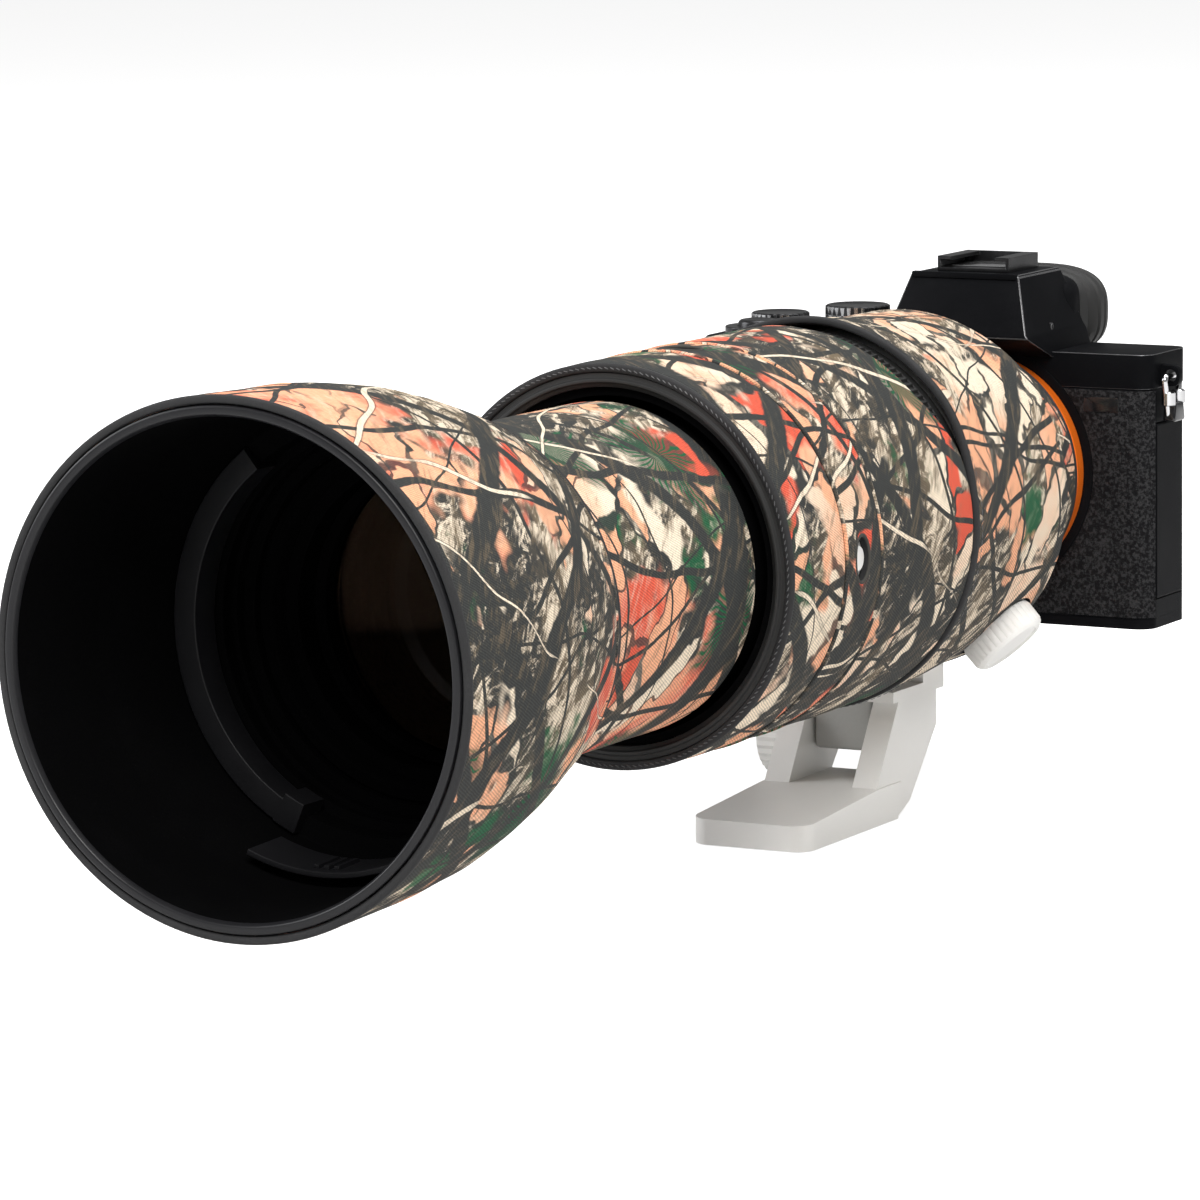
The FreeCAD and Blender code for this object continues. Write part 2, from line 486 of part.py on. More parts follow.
def make_foot():
    toe = padded_body("foot_toe_block", "YZ_Plane", [
        ("-foot_toe", "-axis_height"), ("-foot_heel", "-axis_height"),
        ("-foot_heel + 2", "-axis_height + slope_high"),
        ("-slope_back", "-axis_height + slope_high"), ("-foot_toe", "-axis_height + toe_high")],
        "2 * foot_half")
    arms = padded_body("foot_arms_block", "YZ_Plane", [
        ("-slope_back", "-axis_height + slope_high"), ("-slope_back", "-axis_height + 1"),
        ("-foot_heel", "-axis_height"),
        ("-arm_knee", "-arm_knee_low"), ("-arm_back", "-arm_back_low"), ("-arm_back", "-foot_top"),
        ("-arm_front_top", "-foot_top")], "2 * collar_plate_half")
    between = box("between_arms", "-foot_arm", "foot_arm", "-(slope_back + 2)", "-arm_back + 5",
                  "-axis_height + slope_high", "-foot_top + 1")
    stem = rod("clamp_stem_hole", "x", "clamp_stem + running", "-foot_half - 1", "0",
               "-clamp_place", "-clamp_low")
    whole = fused("foot_fuse", toe, arms)
    socket = rod("socket_drill", "z", "socket_r", "-axis_height", "-axis_height + socket_deep",
                 "0", "-flange_back")
    opened = cut("foot_open", whole, between, stem, socket)

    def toe_corner(edge):
        return upright(edge) and edge.CenterOfMass.y < -number("foot_toe") + 1
    keep(softened("foot_round", opened, "toe_round", toe_corner), "tripod_foot")

    keep(box("clamp_block", "-block_half", "block_half", "-block_front", "-block_back",
             "-block_low", "-foot_top"), "foot_clamp_block")
    disc = rod("clamp_disc", "x", "clamp_r", "-(foot_half + gap + clamp_thick)",
               "-(foot_half + gap)", "-clamp_place", "-clamp_low")
    shaft = rod("clamp_shaft", "x", "clamp_stem", "-(foot_half + gap + 1)", "-(block_half + gap)",
                "-clamp_place", "-clamp_low")
    keep(fused("clamp_fuse", disc, shaft), "foot_clamp_knob")


# ---------------------------------------------------------------- camera body
def body_slab(name, front, back, low, high):
    """A slice of the body's rounded slab."""
    block = box(name + "_block", "-body_left", "body_right", front, back, low, high)
    return softened(name + "_round", block, "corner", lambda edge: upright(edge) and (
        edge.CenterOfMass.y < number("body_front") + 1
        or edge.CenterOfMass.y > number("body_back") - 1))


def make_front_housing():
    slab = body_slab("front_slab", "body_front", "body_split", "-base_top", "seam")
    hollow = box("front_hollow", "-body_left + case_wall", "body_right - case_wall",
                 "body_front + case_wall", "body_split", "-base_top", "seam")
    throat = rod("throat_hole", "y", "throat", "body_front - 1", "body_front + case_wall + 1",
                 "0", "0")
    well = box("front_well", "-(battery_left + well)", "-(battery_left - battery_wide - well)",
               "body_front - 1", "body_front + case_wall + 1", "-base_top", "well_top")
    release = rod("release_hole", "y", "release_r + button_fit", "body_front - 1",
                  "body_front + case_wall + 1", "release_x", "-release_z")
    port = box("front_port_pocket", "body_right - port_deep", "body_right + 1", "port_front - gap",
               "body_split", "-(port_low + gap)", "port_high + gap")
    card = box("front_card_pocket", "-body_left - 1", "-body_left + port_deep", "card_front - gap",
               "body_split", "-(card_low + gap)", "card_high + gap")
    keep(cut("front_cut", slab, hollow, throat, well, release, port, card), "front_housing")
    keep(rod("release_rod", "y", "release_r", "body_front - release_proud",
             "body_front + case_wall", "release_x", "-release_z"), "lens_release_button")


def make_hand_grip():
    block = box("grip_block", "-grip_left", "-grip_right", "-grip_front", "body_front",
                "-base_top", "grip_top")

    def front_edges(edge):
        return upright(edge) and edge.CenterOfMass.y < 0
    rounded = softened("grip_rounded", block, "grip_round", front_edges)
    well = box("grip_well", "-(battery_left + well)", "-(battery_left - battery_wide - well)",
               "-(battery_front + well)", "body_front + 1", "-base_top", "well_top")
    slot = rod("grip_dial_slot", "x", "front_dial_r + front_slot",
               "-(front_dial_x + front_dial_half + front_slot)",
               "-(front_dial_x - front_dial_half - front_slot)",
               "-front_dial_y", "front_dial_z")
    button = rod("grip_button_well", "z", "button_r + button_fit", "button_well - 3", "grip_top + 1",
                 "-shutter_x", "-shutter_y")
    keep(cut("grip_cut", rounded, well, slot, button), "hand_grip")
    keep(rod("front_dial_rod", "x", "front_dial_r", "-(front_dial_x + front_dial_half)",
             "-(front_dial_x - front_dial_half)", "-front_dial_y", "front_dial_z"),
         "front_dial")


def make_rear_housing():
    slab = body_slab("rear_slab", "body_split", "body_back", "-base_top", "seam")
    hollow = box("rear_hollow", "-body_left + case_wall", "body_right - case_wall",
                 "body_split", "body_back - case_wall", "-base_top", "seam")
    tray = box("recess_tray", "-screen_left - 3", "screen_right + 3",
               "recess_floor - recess_plate", "body_back - 1", "-base_top", "screen_high + 3")
    recess = box("screen_recess", "-screen_left - recess_edge", "screen_right + recess_edge",
                 "recess_floor", "body_back + 1", "-base_top - 1", "screen_high + recess_edge")
    port = box("rear_port_pocket", "body_right - port_deep", "body_right + 1", "body_split",
               "port_back + gap", "-(port_low + gap)", "port_high + gap")
    card = box("rear_card_pocket", "-body_left - 1", "-body_left + port_deep", "body_split",
               "card_back + gap", "-(card_low + gap)", "card_high + gap")
    seats = [rod(f"rear_button_seat_{i}", "y", "rear_button_r + 0.25",
                 "body_back - rear_button_seat - 0.6", "body_back + 1", x, z)
             for i, (x, z) in enumerate(REAR_BUTTONS)]
    shell = cut("rear_shell", slab, hollow)
    keep(cut("rear_cut", fused("rear_tray_fuse", shell, tray), recess, port, card, *seats),
         "rear_housing")
    keep(box("port_flap", "body_right - port_deep + 0.1", "body_right + port_proud", "port_front",
             "port_back", "-port_low", "port_high"), "port_door")
    keep(box("card_flap", "-body_left - port_proud", "-body_left + port_deep - 0.1", "card_front",
             "card_back", "-card_low", "card_high"), "card_door")


def make_rear_controls():
    buttons = [rod(f"rear_button_{i}", "y", "rear_button_r", "body_back - rear_button_seat",
                   "body_back + rear_button_proud", x, z) for i, (x, z) in enumerate(REAR_BUTTONS)]
    group = doc.addObject("Part::Compound", "rear_button_group")
    group.Links = buttons
    keep(group, "rear_buttons")
    wheel = rod("wheel_rod", "y", "wheel_r", "body_back + 0.1", "body_back + wheel_proud",
                "-wheel_x", "-wheel_z")
    dish = rod("wheel_dish", "y", "wheel_hub + 2.5", "body_back + wheel_proud - 0.8",
               "body_back + wheel_proud + 1", "-wheel_x", "-wheel_z")
    hub = rod("wheel_hub_rod", "y", "wheel_hub", "body_back + 0.1",
              "body_back + wheel_proud - 0.2", "-wheel_x", "-wheel_z")
    keep(fused("wheel_fuse", cut("wheel_dished", wheel, dish), hub), "control_wheel")


def make_screen():
    """A panel hung from two ears on a bracket, which itself swings out on its lower edge."""
    ears, notches = [], []
    for side, start in (("left", "-screen_left + ear_in"), ("right", "screen_right - ear_in - ear_wide")):
        notches.append(box(
            f"notch_{side}", f"{start} - gap", f"{start} + ear_wide + gap", "screen_front - 1",
            "screen_back + 1", "screen_high - notch_deep", "screen_high + 1"))
        ears.append(box(
            f"ear_{side}", start, f"{start} + ear_wide", "recess_floor + 0.2",
            "screen_back - hinge_in + ear_half - 0.2", "screen_high - hinge_drop - ear_half",
            "screen_high - hinge_drop + ear_half"))
    plate = box("bracket_plate", "-screen_left + bracket_side", "screen_right - bracket_side",
                "recess_floor + 0.2", "recess_floor + 0.2 + bracket_thick",
                "-screen_low", "screen_high")
    keep(fused("bracket_fuse", plate, *ears), "screen_bracket")
    panel = box("panel_block", "-screen_left", "screen_right", "screen_front", "screen_back",
                "-screen_low", "screen_high")
    keep(cut("panel_cut", softened("panel_round", panel, "screen_round", runs_along_y), *notches),
         "screen_panel")


def make_top_cover():
    slab = body_slab("top_slab", "body_front", "body_back", "seam", "shoulder")
    hollow = box("top_hollow", "-body_left + case_wall", "body_right - case_wall",
                 "body_front + case_wall", "body_back - case_wall", "seam", "shoulder - 2")
    deck = softened("deck_round", box(
        "grip_deck", "-deck_left", "-deck_right", "-deck_front", "body_front + 6", "grip_top",
        "deck_top"), "deck_round", lambda edge: upright(edge) and edge.CenterOfMass.y < 0)
    hump = doc.addObject("Part::Wedge", "finder_hump")
    hump.Placement = FreeCAD.Placement(
        FreeCAD.Vector(0, 0, number("hump_low")), FreeCAD.Rotation(FreeCAD.Vector(1, 0, 0), 90))
    bind(hump, Xmin="-hump_half", Xmax="hump_half", Ymin="0", Ymax="hump_top - hump_low",
         Zmin="-hump_back", Zmax="hump_front", X2min="-hump_half_top", X2max="hump_half_top",
         Z2min="-hump_back_top", Z2max="hump_front - hump_lean", Placement__Base__z="hump_low")
    neck = box("hump_neck", "-hump_half", "hump_half", "body_front", "hump_back", "shoulder - 3",
               "hump_low")
    finder = box("finder_well", "-(finder_half + 0.2)", "finder_half + 0.2",
                 "finder_front - 0.2", "body_back + 6", "finder_low - 0.2", "finder_high + 0.2")
    lugs = []
    for side, edge_name in ((1, "body_right"), (-1, "body_left")):
        low = f"{edge_name} - 1" if side > 0 else f"-({edge_name} + lug_reach)"
        high = f"{edge_name} + lug_reach" if side > 0 else f"-({edge_name} - 1)"
        plate = box(f"lug_plate_{side}", low, high, "lug_y - lug_half", "lug_y + lug_half",
                    "lug_z - lug_out", "lug_z + lug_out")
        eye = rod(f"lug_eye_{side}", "y", "lug_eye", "lug_y - 4", "lug_y + 4",
                  lug_centre(side), "lug_z")
        lugs.append(cut(f"lug_{side}", plate, eye))
    shell = cut("top_shell", slab, hollow)
    whole = fused("top_fuse", shell, deck, hump, neck, *lugs)
    mode_seat = rod("mode_seat", "z", "stem_seat", "shoulder - 3", "shoulder + 1", "-mode_x", "mode_y")
    exposure_seat = rod("exposure_seat", "z", "stem_seat", "shoulder - 3", "shoulder + 1",
                        "-exposure_x", "exposure_y")
    dial_slot = rod("rear_dial_slot", "z", "rear_dial_r + 0.5", "rear_dial_low - 0.4",
                    "rear_dial_high + 0.4", "-rear_dial_x", "rear_dial_y")
    button = rod("deck_button_well", "z", "button_r + button_fit", "grip_top - 1", "deck_top + 1",
                 "-shutter_x", "-shutter_y")
    throat = rod("top_throat", "y", "throat", "body_front - 1", "body_front + case_wall + 1",
                 "0", "0")
    keep(cut("top_cut", whole, finder, mode_seat, exposure_seat, dial_slot, button, throat),
         "top_cover")


def lug_centre(side):
    edge_name = "body_right" if side > 0 else "body_left"
    return f"{side} * ({edge_name} + lug_reach - lug_out)"


def make_strap_ring(name, side):
    """A rounded wire triangle: one side runs through the lug's eye and the others meet below."""
    centre_x = number(lug_centre(side))
    lug_y, lug_z = number("lug_y"), number("lug_z")
    half, drop, tip = number("ring_half"), number("ring_drop"), number("ring_tip")
    bend = number("ring_bend")
    corners = [FreeCAD.Vector(centre_x, lug_y - half, lug_z),
               FreeCAD.Vector(centre_x, lug_y + half, lug_z),
               FreeCAD.Vector(centre_x, lug_y + tip, lug_z - drop),
               FreeCAD.Vector(centre_x, lug_y - tip, lug_z - drop)]
    edges = []
    count = len(corners)
    points = []
    for i, corner in enumerate(corners):
        to_last = (corners[i - 1] - corner).normalize()
        to_next = (corners[(i + 1) % count] - corner).normalize()
        middle = (to_last + to_next).normalize()
        reach = bend / math.tan(to_last.getAngle(to_next) / 2)
        depth = bend / math.sin(to_last.getAngle(to_next) / 2) - bend
        points.append((corner + to_last * reach, corner + middle * depth, corner + to_next * reach))
    for i, (start, middle, end) in enumerate(points):
        edges.append(Part.Arc(start, middle, end).toShape())
        edges.append(Part.LineSegment(end, points[(i + 1) % count][0]).toShape())
    path = Part.Wire(Part.__sortEdges__(edges))
    section_at = points[0][2]
    circle = Part.Circle(section_at, FreeCAD.Vector(0, 1, 0), number("ring_wire"))
    start_wire = Part.Wire(circle.toShape())
    item = doc.addObject("Part::Feature", name + "_wire")
    item.Shape = path.makePipeShell([start_wire], True, False)
    keep(item, name)


def make_base_plate():
    slab = body_slab("base_slab", "body_front", "body_back", "-body_low", "-base_top")
    under_grip = softened("base_grip_round", box(
        "base_grip", "-grip_left + 1", "-grip_right", "-grip_front + 1", "body_front + 6",
        "-body_low", "-base_top"), "deck_round", lambda edge: upright(edge) and edge.CenterOfMass.y < 0)
    whole = fused("base_fuse", slab, under_grip)
    doorway = box("base_doorway", "-(door_left + gap)", "-(door_right - gap)",
                  "-(door_front + gap)", "door_back + gap", "-body_low - 1", "-base_top + 1")
    socket = rod("base_socket", "z", "socket_r", "-body_low - 1", "-base_top + 1", "0",
                 "body_split + 1")
    keep(cut("base_cut", whole, doorway, socket), "base_plate")
    keep(box("battery_flap", "-door_left", "-door_right", "-door_front", "door_back",
             "-body_low", "-base_top - 0.2"), "battery_door")
    keep(box("battery_block", "-battery_left", "-(battery_left - battery_wide)",
             "-battery_front", "-battery_front + battery_deep", "-base_top + 0.3",
             "-base_top + 0.3 + battery_tall"), "battery")


def make_mount():
    keep(turned_body("mount_turned", [
        ("mount_inner", "0"), ("mount_r", "0"), ("mount_r", "body_front"),
        ("throat - 0.2", "body_front"), ("throat - 0.2", "body_front + 1.5"),
        ("mount_inner", "body_front + 1.5")]), "body_mount")
    keep(turned_body("trim_turned", [
        ("mount_r", "0.6"), ("trim_r - 0.6", "0.6"), ("trim_r", "1.2"), ("trim_r", "body_front"),
        ("mount_r", "body_front")]), "mount_trim_ring")


def make_imaging_parts():
    frame = box("shutter_frame", "-shutter_half", "shutter_half", "shutter_front", "shutter_back",
                "-shutter_high", "shutter_high")
    gate = box("shutter_gate", "-gate_half", "gate_half", "shutter_front - 1", "shutter_back + 1",
               "-gate_high", "gate_high")
    keep(cut("shutter_cut", frame, gate), "shutter_unit")
    carrier = box("sensor_carrier", "-sensor_half", "sensor_half", "sensor_front + 1",
                  "sensor_back", "-sensor_high", "sensor_high")
    chip = box("sensor_chip", "-gate_half", "gate_half", "sensor_front", "sensor_front + 1.2",
               "-gate_high", "gate_high")
    keep(fused("sensor_fuse", carrier, chip), "sensor_unit")
    keep(box("board_block", "-board_left", "board_right", "board_front", "board_back",
             "-board_low", "board_high"), "main_board")
    engine = box("finder_block", "-finder_half", "finder_half", "finder_front", "finder_back",
                 "finder_low", "finder_high")
    keep(engine, "viewfinder_unit")


def make_eyecup():
    outer = softened("eyecup_round_block", box(
        "eyecup_block", "-eyecup_half", "eyecup_half", "body_back + 0.5", "eyecup_back",
        "eyecup_mid - eyecup_high / 2", "eyecup_mid + eyecup_high / 2"),
        "eyecup_round", runs_along_y)
    hole = softened("eyecup_hole_round", box(
        "eyecup_hole", "-eyecup_hole_half", "eyecup_hole_half", "body_back - 1",
        "eyecup_back + 1", "eyecup_mid - eyecup_hole_high / 2 - 1.5",
        "eyecup_mid + eyecup_hole_high / 2"), "eyecup_hole_round", runs_along_y)
    keep(cut("eyecup_cut", outer, hole), "eyecup")


def make_shoe():
    block = box("shoe_block", "-shoe_half", "shoe_half", "shoe_front", "shoe_back", "hump_top",
                "hump_top + shoe_top")
    slot = box("shoe_slot_cut", "-shoe_slot", "shoe_slot", "shoe_front - 1", "shoe_back - 1",
               "hump_top + shoe_floor", "hump_top + shoe_rise")
    throat = box("shoe_throat", "-shoe_lip", "shoe_lip", "shoe_front - 1", "shoe_back - 1",
                 "hump_top + shoe_floor", "hump_top + shoe_top + 1")
    keep(cut("shoe_cut", block, slot, throat), "hot_shoe")


def stemmed_dial(name, radius, top, place_x, place_y):
    """A round dial just above the top cover, with its stem in the cover's seat."""
    disc = rod(name + "_disc", "z", radius, "shoulder + 0.1", top, place_x, place_y)
    stem = rod(name + "_stem", "z", "stem_r", "shoulder - 1.8", "shoulder + 0.5", place_x, place_y)
    joined = fused(name + "_fuse", disc, stem)
    return softened(name + "_edge", joined, "dial_chamfer", rim_at("z", number(top)), "Part::Chamfer")


def make_dials():
    keep(stemmed_dial("mode", "mode_r", "mode_top", "-mode_x", "mode_y"), "mode_dial")
    keep(stemmed_dial("exposure", "exposure_r", "exposure_top", "-exposure_x", "exposure_y"),
         "exposure_dial")
    keep(rod("rear_dial_rod", "z", "rear_dial_r", "rear_dial_low", "rear_dial_high",
             "-rear_dial_x", "rear_dial_y"), "rear_dial")
    ring = rod("lever_ring", "z", "lever_r", "deck_top + 0.1", "lever_top", "-shutter_x",
               "-shutter_y")
    tab = box("lever_tab_block", "-shutter_x - lever_tab_half", "-shutter_x + lever_tab_half",
              "-(shutter_y + lever_tab)", "-shutter_y", "deck_top + 0.1", "lever_top")
    bore = rod("lever_bore", "z", "button_r + 0.1", "deck_top - 1", "lever_top + 1", "-shutter_x",
               "-shutter_y")
    keep(cut("lever_cut", fused("lever_fuse", ring, tab), bore), "power_lever")
    button = rod("shutter_rod", "z", "button_r", "button_well", "button_top", "-shutter_x",
                 "-shutter_y")
    keep(softened("shutter_rod_edge", button, "button_round", rim_at("z", number("button_top"))),
         "shutter_button")


make_hood()
make_extending_barrel()
make_rings()
make_rear_barrel()
make_inner_optics()
make_collar()
make_foot()
make_front_housing()
make_hand_grip()
make_rear_housing()
make_rear_controls()
make_screen()
make_top_cover()
make_strap_ring("strap_ring_near", 1)
make_strap_ring("strap_ring_far", -1)
make_base_plate()
make_mount()
make_imaging_parts()
make_eyecup()
make_shoe()
make_dials()
doc.recompute()

for item in doc.Objects:
    if "Invalid" in item.State or "Error" in item.State:
        raise RuntimeError(f"{item.Name} did not compute: {item.State}")
for item in SUBPARTS:
    if item.Shape.isNull() or not item.Shape.isValid() or item.Shape.Volume <= 0:
        raise RuntimeError(f"{item.Label} has no valid shape")

os.makedirs("parts", exist_ok=True)
for item in SUBPARTS:
    item.Shape.exportStep(os.path.join("parts", item.Label + ".step"))
    print(f"{item.Label:22s} {item.Shape.Volume / 1000:9.3f} cm3  {len(item.Shape.Solids)} solid")
print(len(SUBPARTS), "sub-parts")
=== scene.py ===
import math

import bmesh
import bpy
from mathutils import Matrix, Vector, noise


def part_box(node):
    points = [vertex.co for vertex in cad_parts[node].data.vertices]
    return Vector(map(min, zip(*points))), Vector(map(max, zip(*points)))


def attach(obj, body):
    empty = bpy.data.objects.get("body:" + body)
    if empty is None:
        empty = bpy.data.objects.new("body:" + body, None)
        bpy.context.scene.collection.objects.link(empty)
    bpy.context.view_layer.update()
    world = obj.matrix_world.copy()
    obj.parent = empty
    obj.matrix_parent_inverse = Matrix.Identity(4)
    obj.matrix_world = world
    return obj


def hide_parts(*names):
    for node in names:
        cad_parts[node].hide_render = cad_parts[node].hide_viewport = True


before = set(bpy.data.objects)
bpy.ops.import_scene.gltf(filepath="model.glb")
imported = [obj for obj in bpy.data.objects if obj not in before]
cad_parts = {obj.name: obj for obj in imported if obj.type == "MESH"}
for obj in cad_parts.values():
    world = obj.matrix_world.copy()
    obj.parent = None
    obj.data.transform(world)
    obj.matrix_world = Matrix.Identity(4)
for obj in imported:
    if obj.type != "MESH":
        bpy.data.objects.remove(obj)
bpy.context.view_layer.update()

bl_info = {
    "name": "Camera with Sleeved Zoom Lens",
    "version": (1, 0, 0),
    "blender": (4, 5, 0),
    "location": "3D View > Sidebar > Camera Look",
    "description": "Cloth sleeves, hood, rings, foot and body finishes round a packed camera",
    "category": "Object",
}

# Shapes are drawn in millimetres from the mount: x to the right as seen from in front, y back along
# the lens axis with the hood at minus y, z up.  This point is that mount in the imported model's axes.
FLANGE_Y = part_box("body_mount")[0].y
AXIS_Z = (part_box("zoom_ring")[0].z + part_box("zoom_ring")[1].z) / 2
MOUNT = Vector((0, FLANGE_Y, AXIS_Z))
CAMERA_BODY = "camera_and_barrel"
SOFT_EDGE = math.radians(38)


def span(node):
    """A node's lowest and highest corners in millimetres from the mount."""
    low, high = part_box(node)
    return (low - MOUNT) * 1000, (high - MOUNT) * 1000


# ------------------------------------------------------------------ settings
def tint(name, text, value):
    return bpy.props.FloatVectorProperty(
        name=name, description=text, default=value, size=3, min=0, max=1, subtype="COLOR")


class CAMERALOOK_PG_cloth(bpy.types.PropertyGroup):
    dark: tint("Dark", "Colour of the printed branches and shadows", (0.036, 0.038, 0.037))
    bark: tint("Bark", "Colour of the printed bark", (0.15, 0.115, 0.075))
    cream: tint("Cream", "Colour of the printed pale leaves and twigs", (0.74, 0.63, 0.49))
    peach: tint("Peach", "Colour of the printed dry leaves", (0.74, 0.37, 0.22))
    coral: tint("Coral", "Colour of the printed red leaves", (0.60, 0.095, 0.055))
    green: tint("Green", "Colour of the printed needles", (0.010, 0.095, 0.040))
    binding: tint("Binding", "Colour of the edge tape", (0.012, 0.012, 0.013))
    twill: bpy.props.FloatProperty(
        name="Twill Pitch", description="Distance from one twill rib to the next",
        default=0.00074, min=0.0003, max=0.002, unit="LENGTH")


class CAMERALOOK_PG_lens(bpy.types.PropertyGroup):
    paint: tint("Barrel Paint", "Colour of the barrel, collar and foot", (0.82, 0.81, 0.785))
    rubber: tint("Rubber", "Colour of the ring rubber", (0.012, 0.012, 0.012))
    hood: tint("Hood Black", "Colour of the hood's moulding", (0.0075, 0.0075, 0.0088))
    ribs: bpy.props.IntProperty(
        name="Grip Ribs", description="Number of ribs round the focus grip",
        default=150, min=40, max=300)


class CAMERALOOK_PG_body(bpy.types.PropertyGroup):
    metal: tint("Body Metal", "Colour of the painted body shells", (0.0045, 0.0047, 0.0055))
    skin: tint("Grained Skin", "Colour of the grained covering", (0.0075, 0.0075, 0.0082))
    ring: tint("Mount Trim", "Colour of the ring round the mount", (0.90, 0.17, 0.012))
    teeth: bpy.props.IntProperty(
        name="Dial Teeth", description="Number of teeth round the mode dial",
        default=28, min=20, max=90)


class CAMERALOOK_PG_stage(bpy.types.PropertyGroup):
    floor: tint("Floor", "Colour of the floor", (0.74, 0.74, 0.74))
    focal: bpy.props.FloatProperty(
        name="Focal Length", description="The viewing camera's focal length",
        default=183.23, min=20, max=400, unit="CAMERA")
    key: bpy.props.FloatProperty(
        name="Key Light", description="Power of the large key light",
        default=58.0, min=0, max=400, unit="POWER")
    glow: bpy.props.FloatProperty(
        name="Floor Glow", description="How much the floor brightens towards plain white",
        default=0.72, min=0, max=2)
    sky: bpy.props.FloatProperty(
        name="Surround", description="Strength of the even light from all round",
        default=0.22, min=0, max=3)


SETTINGS = (("camera_look_cloth", CAMERALOOK_PG_cloth), ("camera_look_lens", CAMERALOOK_PG_lens),
            ("camera_look_body", CAMERALOOK_PG_body), ("camera_look_stage", CAMERALOOK_PG_stage))


# ------------------------------------------------------------------ node helpers
class Nodes:
    """Adds nodes to a tree and links them; an input may be a socket or a plain value."""

    def __init__(self, tree):
        self.tree = tree

    def add(self, kind, inputs=(), **settings):
        node = self.tree.nodes.new(kind)
        for key, value in settings.items():
            setattr(node, key, value)
        for key, value in dict(inputs).items():
            self.feed(node.inputs[key], value)
        return node

    def feed(self, socket, value):
        if isinstance(value, bpy.types.NodeSocket):
            self.tree.links.new(value, socket)
        else:
            socket.default_value = value

    def math(self, operation, *values, clamp=False):
        node = self.add("ShaderNodeMath", operation=operation, use_clamp=clamp)
        for socket, value in zip(node.inputs, values):
            self.feed(socket, value)
        return node.outputs[0]

    def blend(self, share, first, second, mode="MIX"):
        node = self.add("ShaderNodeMix", data_type="RGBA", blend_type=mode)
        for index, value in ((0, share), (6, first), (7, second)):
            self.feed(node.inputs[index], value)
        return node.outputs[2]

    def step(self, value, low, high):
        """0 below low, 1 above high, smooth between; low may be the larger."""
        node = self.add("ShaderNodeMapRange", interpolation_type="SMOOTHSTEP")
        for key, item in (("Value", value), ("From Min", low), ("From Max", high)):
            self.feed(node.inputs[key], item)
        return node.outputs["Result"]

    def mottle(self, vector, scale, detail=3.0, rough=0.55, warp=0.0):
        return self.add("ShaderNodeTexNoise", {
            "Vector": vector, "Scale": scale, "Detail": detail, "Roughness": rough,
            "Distortion": warp})

    def shift(self, vector, offset):
        return self.add("ShaderNodeVectorMath", {0: vector, 1: offset}, operation="ADD").outputs[0]

    def turn(self, vector, angle):
        return self.add("ShaderNodeVectorRotate", {"Vector": vector, "Angle": angle},
                        rotation_type="Z_AXIS").outputs[0]


def four(colour):
    return (*colour[:3], 1.0)


def node_group(name, inputs, outputs, build):
    """A shader node group made once; build takes its Nodes and input sockets and returns outputs."""
    tree = bpy.data.node_groups.get(name)
    if tree is not None:
        return tree
    tree = bpy.data.node_groups.new(name, "ShaderNodeTree")
    kinds = {"F": "NodeSocketFloat", "V": "NodeSocketVector", "C": "NodeSocketColor"}
    for label, (kind, value) in inputs.items():
        socket = tree.interface.new_socket(label, in_out="INPUT", socket_type=kinds[kind])
        if value is not None:
            socket.default_value = value
    for label, kind in outputs.items():
        tree.interface.new_socket(label, in_out="OUTPUT", socket_type=kinds[kind])
    source, sink = tree.nodes.new("NodeGroupInput"), tree.nodes.new("NodeGroupOutput")
    made = build(Nodes(tree), source.outputs)
    for label, socket in made.items():
        tree.links.new(socket, sink.inputs[label])
    return tree


